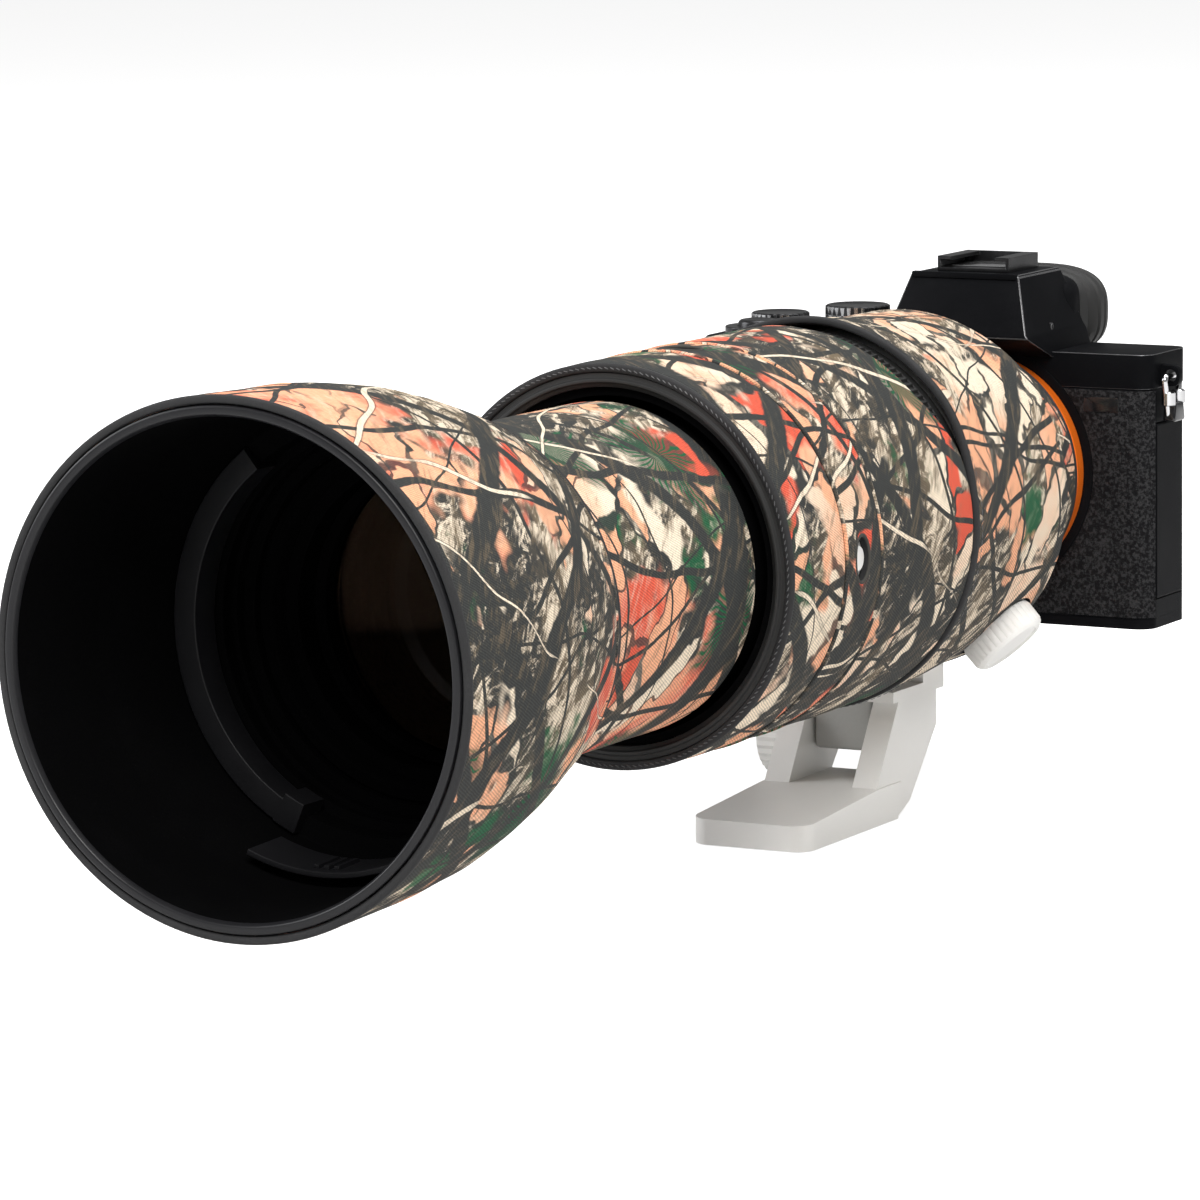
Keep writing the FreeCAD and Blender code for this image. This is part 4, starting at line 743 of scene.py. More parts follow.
def cutter_outward(name, outline, out, side, along, low, high, body):
    """A cutter carried outward from the lens axis, from an outline of (sideways, along) points."""
    count = len(outline)
    points = [tuple(out * reach + side * a + Vector((0, along + b, 0)))
              for reach in (low, high) for a, b in outline]
    faces = [tuple(range(count)), tuple(range(count, 2 * count))]
    faces += [(k, (k + 1) % count, count + (k + 1) % count, count + k) for k in range(count)]
    return add_piece(name, points, faces, "edge_tape", body)


def cutter_disc(name, radius, front, reach=4.0):
    """A round cutter on the lens axis, reaching to both sides of a front face."""
    outline = [(0.5, front - reach), (radius, front - reach), (radius, front + reach),
               (0.5, front + reach)]
    return turned(name, outline, "edge_tape", CAMERA_BODY,
                  steps=96 if radius > 30 else 72)


def lofted(name, rings, finish, body, replaces=(), close_start=True, close_end=True):
    """A skin through rings of points, each ring the same length."""
    count = len(rings[0])
    points = [p for ring in rings for p in ring]
    faces = []
    for r in range(len(rings) - 1):
        for k in range(count):
            k2 = (k + 1) % count
            faces.append((r * count + k, r * count + k2, (r + 1) * count + k2, (r + 1) * count + k))
    if close_start:
        faces.append(tuple(range(count)))
    if close_end:
        faces.append(tuple((len(rings) - 1) * count + k for k in range(count)))
    return add_piece(name, points, faces, finish, body, replaces)


def squircle(half_x, half_z, power, steps, place, centre_x=0.0, centre_z=0.0):
    """A ring of points across y: an ellipse for power 2, squarer above it."""
    ring = []
    for k in range(steps):
        angle = math.tau * k / steps
        c, s = math.cos(angle), math.sin(angle)
        ring.append((centre_x + half_x * math.copysign(abs(c) ** (2 / power), c), place,
                     centre_z + half_z * math.copysign(abs(s) ** (2 / power), s)))
    return ring


def knurled(name, axis, centre, radius, low, high, teeth, depth, finish, body, replaces=(),
            rows=1, chamfer=0.6, dish=0.0, wall=None):
    """A dial along an axis: toothed wall (diamonds when rows > 1), chamfered ends, dished top."""
    count = teeth * 2
    levels = [(low, radius - chamfer, False), (low + chamfer * 0.6, radius, True)]
    for row in range(1, rows + 1):
        levels.append((low + chamfer * 0.6 + (high - low - chamfer * 1.2) * row / rows, radius, True))
    levels.append((high, radius - chamfer, False))
    levels.append((high, radius - chamfer - 0.5, False))
    levels.append((high - dish, radius - chamfer - 1.0, False))
    points = []
    for index, (level, reach, toothed) in enumerate(levels):
        for k in range(count):
            angle = math.tau * k / count
            r = reach
            if toothed:
                odd = (k + (index if rows > 1 else 0)) % 2
                r = reach - depth * odd
            a, b = r * math.cos(angle), r * math.sin(angle)
            points.append({"x": (level, centre[0] + a, centre[1] + b),
                           "y": (centre[0] + a, level, centre[1] + b),
                           "z": (centre[0] + a, centre[1] + b, level)}[axis])
    faces = [tuple(range(count)), tuple((len(levels) - 1) * count + k for k in range(count))]
    for index in range(len(levels) - 1):
        for k in range(count):
            k2 = (k + 1) % count
            faces.append((index * count + k, index * count + k2, (index + 1) * count + k2,
                          (index + 1) * count + k))
    piece = add_piece(name, points, faces, finish, body, replaces, soft=math.radians(28))
    # The wall finish goes on every other facet of the toothed rows: a painted highlight on the knurl.
    if wall:
        piece.data.materials.append(finish_of(wall))
        for face in piece.data.polygons[2:]:
            row, column = divmod(face.index - 2, count)
            if 0 < row <= rows:
                face.material_index = (row + column) % 2
    return piece


def stitches(name, radius, along, count, length, thick, body, tilt=0.0, start=0.0, sweep=360.0,
             face=False):
    """Short threads in a row round the axis, lying on a wall, or on a face across the axis."""
    points, faces = [], []
    for k in range(count):
        middle = math.radians(start + sweep * (k + 0.5) / count)
        half = length / 2 / radius
        base = len(points)
        for step, swell in ((-1.0, 0.25), (-0.6, 0.9), (0.6, 0.9), (1.0, 0.25)):
            angle = middle + half * step
            c, s = math.cos(angle), math.sin(angle)
            slant = tilt * step
            t = thick * swell
            if face:
                ring = ((radius + slant - t, along), (radius + slant, along - t),
                        (radius + slant + t, along), (radius + slant, along + t * 0.3))
            else:
                ring = ((radius, along + slant - t), (radius + t, along + slant),
                        (radius, along + slant + t), (radius - t * 0.3, along + slant))
            points += [(r * c, y, r * s) for r, y in ring]
        for seg in range(3):
            for q in range(4):
                q2 = (q + 1) % 4
                faces.append((base + seg * 4 + q, base + seg * 4 + q2, base + seg * 4 + 4 + q2,
                              base + seg * 4 + 4 + q))
        faces += [tuple(base + q for q in range(4)), tuple(base + 12 + q for q in range(4))]
    return add_piece(name, points, faces, "thread", body, soft=math.radians(80))


def dress(node, finish, bevel=0.0, segments=2, angle=32.0):
    """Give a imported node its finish, and rounded edges by modifiers."""
    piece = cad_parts[node]
    material = finish_of(finish) if isinstance(finish, str) else finish
    for slot in piece.material_slots:
        slot.link = "OBJECT"
        slot.material = material
    if bevel:
        weld = piece.modifiers.new("Weld", "WELD")
        weld.merge_threshold = 1e-6
        edge = piece.modifiers.new("Bevel", "BEVEL")
        edge.width = bevel / 1000
        edge.segments = segments
        edge.limit_method = "ANGLE"
        edge.angle_limit = math.radians(angle)
        piece.modifiers.new("Normals", "WEIGHTED_NORMAL")
    return piece


# ------------------------------------------------------------------ cloth sleeves
SLEEVE_WALL = 2.1


def ripple(amount, seed):
    """A slight unevenness for cloth, the same at the start and end of a turn."""
    def at(angle, along):
        turn = math.radians(angle)
        spot = Vector((math.cos(turn) * 1.6, math.sin(turn) * 1.6, along * 0.05 + seed))
        return amount * noise.noise(spot * 1.3) + 0.4 * amount * noise.noise(spot * 3.7)
    return at


def cloth_ring(name, outer, body, seed, replaces, wave=0.35, bulge=0.2, wall=None, shape=None,
               end_round=0.9, steps=160):
    """A sleeve of cloth whose outer side runs through (radius, y) points, front to back."""
    wall = wall or SLEEVE_WALL
    uneven = ripple(wave, seed)
    front, back = outer[0][1], outer[-1][1]
    fine = []
    for (r0, y0), (r1, y1) in zip(outer, outer[1:]):
        parts = max(2, int(abs(y1 - y0) / 2.5))
        fine += [(r0 + (r1 - r0) * k / parts, y0 + (y1 - y0) * k / parts) for k in range(parts)]
    fine.append(outer[-1])
    outline = fine + [(r - wall, y) for r, y in reversed(outer)]
    radii = [0.0] * len(outline)
    radii[0] = radii[len(fine) - 1] = end_round
    radii[len(fine)] = radii[-1] = 0.5
    outline = rounded(outline, radii)

    def place(angle, radius, along):
        share = min(1.0, max(0.0, (along - front) / (back - front)))
        belly = math.sin(math.pi * share)
        radius += bulge * belly + uneven(angle, along) * belly ** 0.5
        if shape:
            radius, along = shape(angle, radius, along)
        return radius, along
    piece = turned(name, outline, cloth_material("woodland_" + name, seed), body,
                   replaces, steps=steps, shape=place)
    piece.data.materials.append(finish_of("edge_tape"))
    for face in piece.data.polygons:
        centre = face.center - MOUNT
        if face.normal.x * centre.x + face.normal.z * centre.z < -0.3 * math.hypot(centre.x, centre.z):
            face.material_index = 1
    return piece


def bump_between(angle, low, high, soft):
    """1 between two angles, falling smoothly to 0 over the soft width outside them."""
    a = (angle + 360) % 360
    if low <= a <= high:
        return 1.0
    off = min(abs(a - low), abs(a - high), 360 - abs(a - low), 360 - abs(a - high))
    t = max(0.0, 1.0 - off / soft)
    return t * t * (3 - 2 * t)


# Outer sides of the two shaped sleeves as (radius, y), front to back
HOOD_SIDE = ((59.3, -371.2), (58.9, -356.0), (58.5, -340.0), (57.2, -326.0), (55.3, -314.0),
             (52.9, -303.0), (50.0, -293.0), (48.1, -286.9), (47.35, -286.1), (47.75, -285.3),
             (46.9, -283.2))
REAR_SIDE = ((48.9, -99.4), (48.5, -88.0), (48.2, -78.0), (47.3, -68.0), (46.6, -62.3),
             (46.6, -39.7), (45.4, -37.8), (40.6, -30.0), (36.4, -24.0), (34.6, -17.0),
             (33.9, -11.0), (33.4, -5.2))
FOCUS_SLEEVE_BACK = -101.2
# Where the rear sleeve's front edge lifts: from, to and fading over, in degrees, and by how much
LIFTED_SPAN, EDGE_LIFT = (42, 78, 34), 1.4
BUTTON_HOLE = (5.6, 3.6)


class CAMERALOOK_OT_hood_sleeve(bpy.types.Operator):
    """Cloth over the hood, with its edge tapes"""
    bl_idname = "camera_look.hood_sleeve"
    bl_label = "Hood Sleeve"

    def execute(self, context):
        cloth_ring("hood_cloth", HOOD_SIDE, "hood", 71.0,
                   ("hood_sleeve",), wave=0.30, bulge=0.0, end_round=1.0)
        tape = oblong(57.5, -372.3, 59.45, -370.4, 0.8)
        turned("hood_front_tape", tape, "edge_tape", "hood")
        tail = rounded([(44.7, -283.6), (47.0, -283.6), (46.6, -281.6), (44.7, -281.4)], 0.8)
        turned("hood_back_tape", tail, "edge_tape", "hood")
        return {"FINISHED"}


class CAMERALOOK_OT_barrel_sleeve(bpy.types.Operator):
    """Cloth over the extending barrel"""
    bl_idname = "camera_look.barrel_sleeve"
    bl_label = "Barrel Sleeve"

    def execute(self, context):
        low, high = span("inner_barrel_sleeve")
        radius = high.x
        cloth_ring("barrel_cloth", [(radius, low.y + 0.2), (radius, high.y)],
                   "extending_barrel", 11.0, ("inner_barrel_sleeve",), wave=0.16, bulge=0.0)
        return {"FINISHED"}


class CAMERALOOK_OT_main_sleeves(bpy.types.Operator):
    """Cloth over the zoom ring, the button band, the focus ring and the rear barrel"""
    bl_idname = "camera_look.main_sleeves"
    bl_label = "Main Sleeves"

    def execute(self, context):
        self.zoom_part()
        self.band_part()
        self.focus_part()
        self.rear_part()
        return {"FINISHED"}

    def zoom_part(self):
        low, high = span("zoom_ring_sleeve")
        radius = high.x
        cloth_ring("zoom_cloth", [(radius, low.y + 1.6), (radius, high.y - 0.1)],
                   "zoom_ring", 23.0, ("zoom_ring_sleeve",), wave=0.25, bulge=0.25)
        tape = oblong(46.7, low.y, radius + 0.1, low.y + 1.9, 0.85)
        turned("zoom_front_tape", tape, "edge_tape", "zoom_ring")
        stitches("zoom_front_stitches", 47.75, low.y - 0.05, 190, 1.1, 0.16, "zoom_ring",
                 tilt=0.22, face=True)

    def band_part(self):
        low, high = span("button_band_sleeve")
        radius = high.x
        piece = cloth_ring("band_cloth", [(radius, low.y + 0.1), (radius, high.y - 0.1)],
                           CAMERA_BODY, 31.0, ("button_band_sleeve",), wave=0.2, bulge=0.2)
        for name, place in (("seam_front", low.y + 0.15), ("seam_back", high.y - 0.15)):
            roll = disc(0.55, radius - 0.05, place, 10, tall=0.5)
            turned(name, roll, cloth_material("woodland_seam", 71.0), CAMERA_BODY,
                   soft=math.radians(70))
        spots = []
        for node, angle in (("hold_button_side", 0), ("hold_button_top", 90), ("hold_button_far", 180)):
            button = span(node)
            middle = (button[0].y + button[1].y) / 2
            turn = Matrix.Rotation(-math.radians(angle), 3, "Y")
            spots.append(cutter_outward(
                f"hole_{node}", disc(BUTTON_HOLE[0], count=40, tall=BUTTON_HOLE[1]),
                turn @ Vector((1, 0, 0)), turn @ Vector((0, 0, 1)), middle, 40.0, 56.0, CAMERA_BODY))
            self.hole_edge(node, turn, middle)
        carved(piece, *spots)

    def hole_edge(self, node, turn, middle):
        """A sewn edge round an oval hole, laid on the sleeve's curve."""
        points, faces = [], []
        steps, sides = 48, 6
        for k in range(steps):
            t = math.tau * k / steps
            a, b = (BUTTON_HOLE[0] + 0.15) * math.cos(t), (BUTTON_HOLE[1] + 0.15) * math.sin(t)
            lean = a / 48.6
            base = Vector((48.75 * math.cos(lean), middle + b, 48.75 * math.sin(lean)))
            outward = Vector((math.cos(lean), 0, math.sin(lean)))
            away = Vector((0, math.sin(t), math.cos(t))).normalized()
            for s in range(sides):
                w = math.tau * s / sides
                points.append(tuple(turn @ (
                    base + (outward * math.cos(w) * 0.35) + away * math.sin(w) * 0.5)))
        for k in range(steps):
            for s in range(sides):
                faces.append((k * sides + s, k * sides + (s + 1) % sides,
                              ((k + 1) % steps) * sides + (s + 1) % sides, ((k + 1) % steps) * sides + s))
        add_piece("edge_" + node, points, faces, cloth_material("woodland_band_cloth", 31.0),
                  CAMERA_BODY, uvs=[(0.01, 0.01)] * (len(faces) * 4),
                  soft=math.radians(80))

    def focus_part(self):
        low, high = span("focus_ring_sleeve")
        radius = high.x

        def drawn_forward(angle, r, along):
            pull = bump_between(angle, 48, 82, 30)
            share = max(0.0, (along + 118.0) / 17.0)
            return r, along - pull * 7.0 * min(1.0, share) ** 0.8
        cloth_ring("focus_cloth", [(radius, low.y + 0.1), (radius, FOCUS_SLEEVE_BACK)],
                   "focus_ring", 43.0, ("focus_ring_sleeve",), wave=0.3, bulge=0.25, shape=drawn_forward)

    def rear_part(self):
        def lifted(angle, r, along):
            pull = bump_between(angle, *LIFTED_SPAN)
            share = max(0.0, min(1.0, (-84.0 - along) / 15.0))
            return r + pull * EDGE_LIFT * share, along + pull * share
        piece = cloth_ring("rear_cloth", REAR_SIDE, "tripod_collar", 57.0,
                           ("rear_sleeve",), wave=0.35, bulge=0.0, wall=1.7, shape=lifted, steps=176)
        foot = cutter("hole_foot", oblong(-16.4, -82, 16.4, -48, 3.0), "z", -60, -38, "tripod_collar")
        lock = span("collar_lock_knob")
        middle = (lock[0] + lock[1]) / 2
        out = Vector((middle.x, 0, middle.z)).normalized()
        side = Vector((-out.z, 0, out.x))
        knob = cutter_outward("hole_lock", disc(11.2), out, side, middle.y, 40.0, 58.0, "tripod_collar")
        carved(piece, foot, knob)
        tape = oblong(47.6, -101.0, 49.5, -98.6, 0.8)

        def with_cloth(angle, r, along):
            pull = bump_between(angle, *LIFTED_SPAN)
            return r + pull * EDGE_LIFT, along + pull
        turned("rear_front_tape", tape, "edge_tape", "tripod_collar", shape=with_cloth)
        stitches("rear_front_stitches", 49.6, -97.9, 130, 1.4, 0.14, "tripod_collar",
                 start=95, sweep=290)
        band = rounded([(34.4, -16.2), (35.1, -16.2), (34.8, -14.6), (34.2, -14.6)], 0.3)
        turned("rear_strip_tape", band, "edge_tape", "tripod_collar")
        tail = rounded([(31.9, -5.8), (33.7, -5.8), (33.4, -3.9), (31.9, -3.9)], 0.6)
        turned("rear_back_tape", tail, "edge_tape", "tripod_collar")


# ------------------------------------------------------------------ hood
class CAMERALOOK_OT_hood(bpy.types.Operator):
    """The hood's moulding: front lip, inner steps, window track and window"""
    bl_idname = "camera_look.hood"
    bl_label = "Hood"

    def execute(self, context):
        piece = self.shell()
        self.stops()
        self.window()
        slot = []
        for reach in (48.0, 60.0):
            slot.append([(reach * math.cos(t), y, reach * math.sin(t)) for y, t in self.slot_edge()])
        carved(piece, lofted("hood_slot", slot, "flocked_black", "hood"))
        return {"FINISHED"}

    def shell(self):
        """Lip, flared wall, baffle and inner steps, flocked inside."""
        shell = rounded([
            (57.15, -372.7), (57.2, -371.0), (56.3, -340.0), (53.3, -314.0), (48.7, -296.0),
            (44.5, -283.0), (42.1, -283.0), (42.1, -288.5), (43.4, -288.9), (43.4, -290.6),
            (42.1, -291.0), (42.1, -293.6), (44.6, -294.0), (44.6, -297.2), (45.6, -297.6),
            (45.6, -302.0), (44.4, -302.4), (44.4, -303.6), (46.5, -304.2), (46.5, -311.2),
            (51.1, -312.6), (54.1, -340.0), (54.7, -371.4), (55.3, -372.7)],
            [0.6, 0.3, 6, 8, 6, 0.8, 0.3, 0.2, 0.2, 0.2, 0.2, 0.2, 0.3, 0.2, 0.2, 0.3, 0.3, 0.3, 0.4,
             0.4, 0.6, 6, 0.8, 0.6], steps=3)
        piece = turned("hood_shell", shell, "hood_black", "hood", ("lens_hood",),
                       steps=168)
        piece.data.materials.append(finish_of("flocked_black"))
        piece.data.materials.append(finish_of("rim_black"))
        for face in piece.data.polygons:
            middle = (face.center - MOUNT) * 1000
            radius = math.hypot(middle.x, middle.z)
            facing = face.normal.x * middle.x + face.normal.z * middle.z
            if middle.y > -371.0 and facing <= 0.15 * radius:
                face.material_index = 1
            elif middle.y < -369.5:
                face.material_index = 2
        return piece

    def stops(self):
        """Raised bands in front of the baffle, one ending in a square tab."""
        for name, start, sweep, inner, front in (
                ("hood_stop_near", -62.0, 64.0, 44.9, -312.2),
                ("hood_stop_top", 38.0, 62.0, 44.9, -312.2),
                ("hood_stop_far", 128.0, 118.0, 44.9, -314.4),
                ("hood_stop_tab", 240.0, 7.0, 43.2, -315.0)):
            outer = 50.6 if front < -313 else 46.9
            step = rounded([(inner, front), (outer, front), (outer, -312.0), (46.9, -306.0),
                            (inner, -306.0)], 0.35)
            turned(name, step, "hood_black", "hood", steps=40, start=start, sweep=sweep)

    def window(self):
        low, high = span("hood_window")
        panel = rounded([(49.9, low.y), (51.3, low.y), (50.7, high.y), (49.3, high.y)], 0.3)
        turned("window_panel", panel, "hood_black", "hood_window", ("hood_window",),
               steps=32, start=-112, sweep=44)
        for k, angle in enumerate((-93.0, -90.0, -87.0)):
            rib = rounded([(48.9, low.y + 2.5), (49.9, low.y + 2.5), (49.4, high.y - 2.5),
                           (48.6, high.y - 2.5)], 0.3)
            turned(f"window_rib_{k}", rib, "hood_black", "hood_window", steps=3,
                   start=angle - 0.7, sweep=1.4)

    def slot_edge(self):
        half, front, back = math.radians(18.0), -334.4, -323.6
        edge = []
        for k in range(13):
            edge.append((front, -math.pi / 2 - half + 2 * half * k / 12))
        for k in range(13):
            edge.append((back, -math.pi / 2 + half - 2 * half * k / 12))
        return edge


# ------------------------------------------------------------------ lens parts
class CAMERALOOK_OT_lens(bpy.types.Operator):
    """Rings, grips, filter thread and glass of the lens"""
    bl_idname = "camera_look.lens"
    bl_label = "Lens Rings and Glass"

    def execute(self, context):
        look = context.scene.camera_look_lens
        low, high = span("zoom_ring")
        ring = rounded([
            (43.1, low.y + 9.0), (43.1, low.y + 1.2), (44.0, low.y + 0.7), (44.4, low.y + 0.1),
            (45.1, low.y + 0.1), (45.5, low.y + 0.8), (46.6, low.y + 0.8), (46.6, high.y),
            (43.05, high.y)], [0.2, 0.3, 0.2, 0.25, 0.25, 0.2, 0.2, 0.3, 0.3], steps=3)
        turned("zoom_ring_shell", ring, "ring_rubber", "zoom_ring", ("zoom_ring",))
        low, high = span("focus_grip")
        outline = [(45.85, low.y), (46.7, low.y + 0.5), (46.7, high.y - 0.5), (45.85, high.y)]
        count = look.ribs * 4

        def ribbed(angle, radius, along):
            phase = int(round((angle + 90) / 360 * count)) % 4
            return (radius + (0.0 if radius < 46 else (0.75 if phase in (1, 2) else 0.0)), along)
        turned("focus_grip_ribs", outline, "ring_rubber", "focus_ring",
               ("focus_grip",), steps=count, shape=ribbed, soft=math.radians(30))
        self.front_end()
        for node, finish, bevel in (
                # The inner barrel is dressed flocked black, not its light paint: painted shade where it
                # sits in the recess under the cloth.
                ("inner_barrel", "flocked_black", 0), ("guide_tube", "flocked_black", 0),
                ("focus_ring", "ring_rubber", 0.2), ("button_band", "barrel_paint", 0),
                ("rear_barrel", "barrel_paint", 0.3), ("lens_bayonet", "bright_steel", 0.15),
                ("stabiliser_unit", "flocked_black", 0.2), ("aperture_unit", "flocked_black", 0),
                ("focus_lens_group", "flocked_black", 0.2)):
            dress(node, finish, bevel)
        for node in ("hold_button_side", "hold_button_top", "hold_button_far"):
            dress(node, "barrel_paint", 0.5, 3)
        dress("rear_lens_group", glass_material())
        # Painted shadow: a black band over the light barrel in the gap behind the focus grip.
        back = span("focus_ring")[1].y
        shade = oblong(46.1, back + 0.1, 46.9, back + 3.4, 0.3)
        turned("grip_gap_painted_shadow", shade, "ring_rubber", CAMERA_BODY)
        return {"FINISHED"}

    def front_end(self):
        low = span("filter_ring")[0]
        ring = [(38.2, low.y + 5.6)]
        for k in range(7):
            ring += [(38.2, low.y + 5.2 - 0.7 * k), (38.75, low.y + 4.85 - 0.7 * k)]
        ring += [(38.3, low.y + 0.3), (38.9, low.y), (41.3, low.y), (41.9, low.y + 0.5),
                 (41.9, low.y + 8.8), (38.05, low.y + 8.8), (38.05, low.y + 8.0), (35.2, low.y + 8.0),
                 (35.2, low.y + 6.2)]
        turned("filter_thread_ring", ring, "flocked_black", "extending_barrel",
               ("filter_ring",), soft=math.radians(25))
        steps_in = [(34.1, -273.4), (34.7, -274.6), (35.3, -276.4), (35.95, -276.6)]
        turned("front_cell", rounded(steps_in + [(35.95, -243.2), (34.1, -243.2)], 0.15), "flocked_black",
               "extending_barrel", ())
        keeper = rounded([(33.2, -276.9), (35.3, -278.3), (35.6, -277.4), (33.6, -276.2)], 0.15)
        turned("front_retaining_ring", keeper, "flocked_black", "extending_barrel")
        dome = [(0.02, -276.0)]
        reach = 34.0
        for k in range(1, 13):
            r = reach * k / 12
            dome.append((r, -276.0 + 4.0 * (r / reach) ** 2))
        dome += [(reach, -266.5), (reach * 0.5, -264.9), (0.02, -264.4)]
        turned("front_element", dome, glass_material(), "extending_barrel",
               ("front_lens_group",), steps=96, soft=math.radians(50))
        back = [(0.02, -251.0), (20.0, -250.4), (34.0, -250.0), (34.0, -246.0), (20.0, -245.2),
                (0.02, -244.8)]
        turned("second_element", back, glass_material(), "extending_barrel", (),
               steps=96, soft=math.radians(50))


# ------------------------------------------------------------------ collar and foot
class CAMERALOOK_OT_foot(bpy.types.Operator):
    """The tripod collar, its foot, clamp block and both knobs"""
    bl_idname = "camera_look.foot"
    bl_label = "Collar and Foot"

    def execute(self, context):
        dress("collar_ring", "barrel_paint", 0.6, 3)
        dress("tripod_foot", "barrel_paint", 1.3, 4)
        dress("foot_clamp_block", "grey_paint", 1.0, 4)
        self.lock_knob()
        low, high = span("foot_clamp_knob")
        place = ((low.y + high.y) / 2, (low.z + high.z) / 2)
        knurled("clamp_knob", "x", place, 11.0, low.x, low.x + 8.0, 30, 0.5, "barrel_paint",
                "foot_clamp", ("foot_clamp_knob",), chamfer=1.0, dish=0.5)
        knurled("clamp_stem", "x", place, 2.55, low.x + 7.5, high.x, 12, 0.0, "bright_steel",
                "foot_clamp", chamfer=0.2)
        return {"FINISHED"}

    def lock_knob(self):
        low, high = span("collar_lock_knob")
        middle = (low + high) / 2
        out = Vector((middle.x, 0, middle.z)).normalized()
        side = Vector((-out.z, 0, out.x))
        ribs, rings = 34, []
        profile = ((44.95, 9.6, 0), (45.3, 10.3, 0), (46.2, 10.6, 1), (50.6, 10.5, 1), (51.4, 10.1, 0),
                   (52.3, 9.0, 0), (52.35, 7.9, 0), (51.9, 7.5, 0), (51.9, 0.1, 0))
        count = ribs * 4
        for reach, radius, toothed in profile:
            ring = []
            for k in range(count):
                r = radius - (0.42 if toothed and k % 4 == 0 else 0.0)
                angle = math.tau * k / count
                ring.append(tuple(out * reach + side * (r * math.cos(angle))
                                  + Vector((0, middle.y + r * math.sin(angle), 0))))
            rings.append(ring)
        piece = lofted("lock_knob", rings, "barrel_paint", "collar_lock",
                       ("collar_lock_knob",))
        finish_mesh(piece.data, math.radians(30))


# ------------------------------------------------------------------ camera body
BUTTON_WELL = 5.85


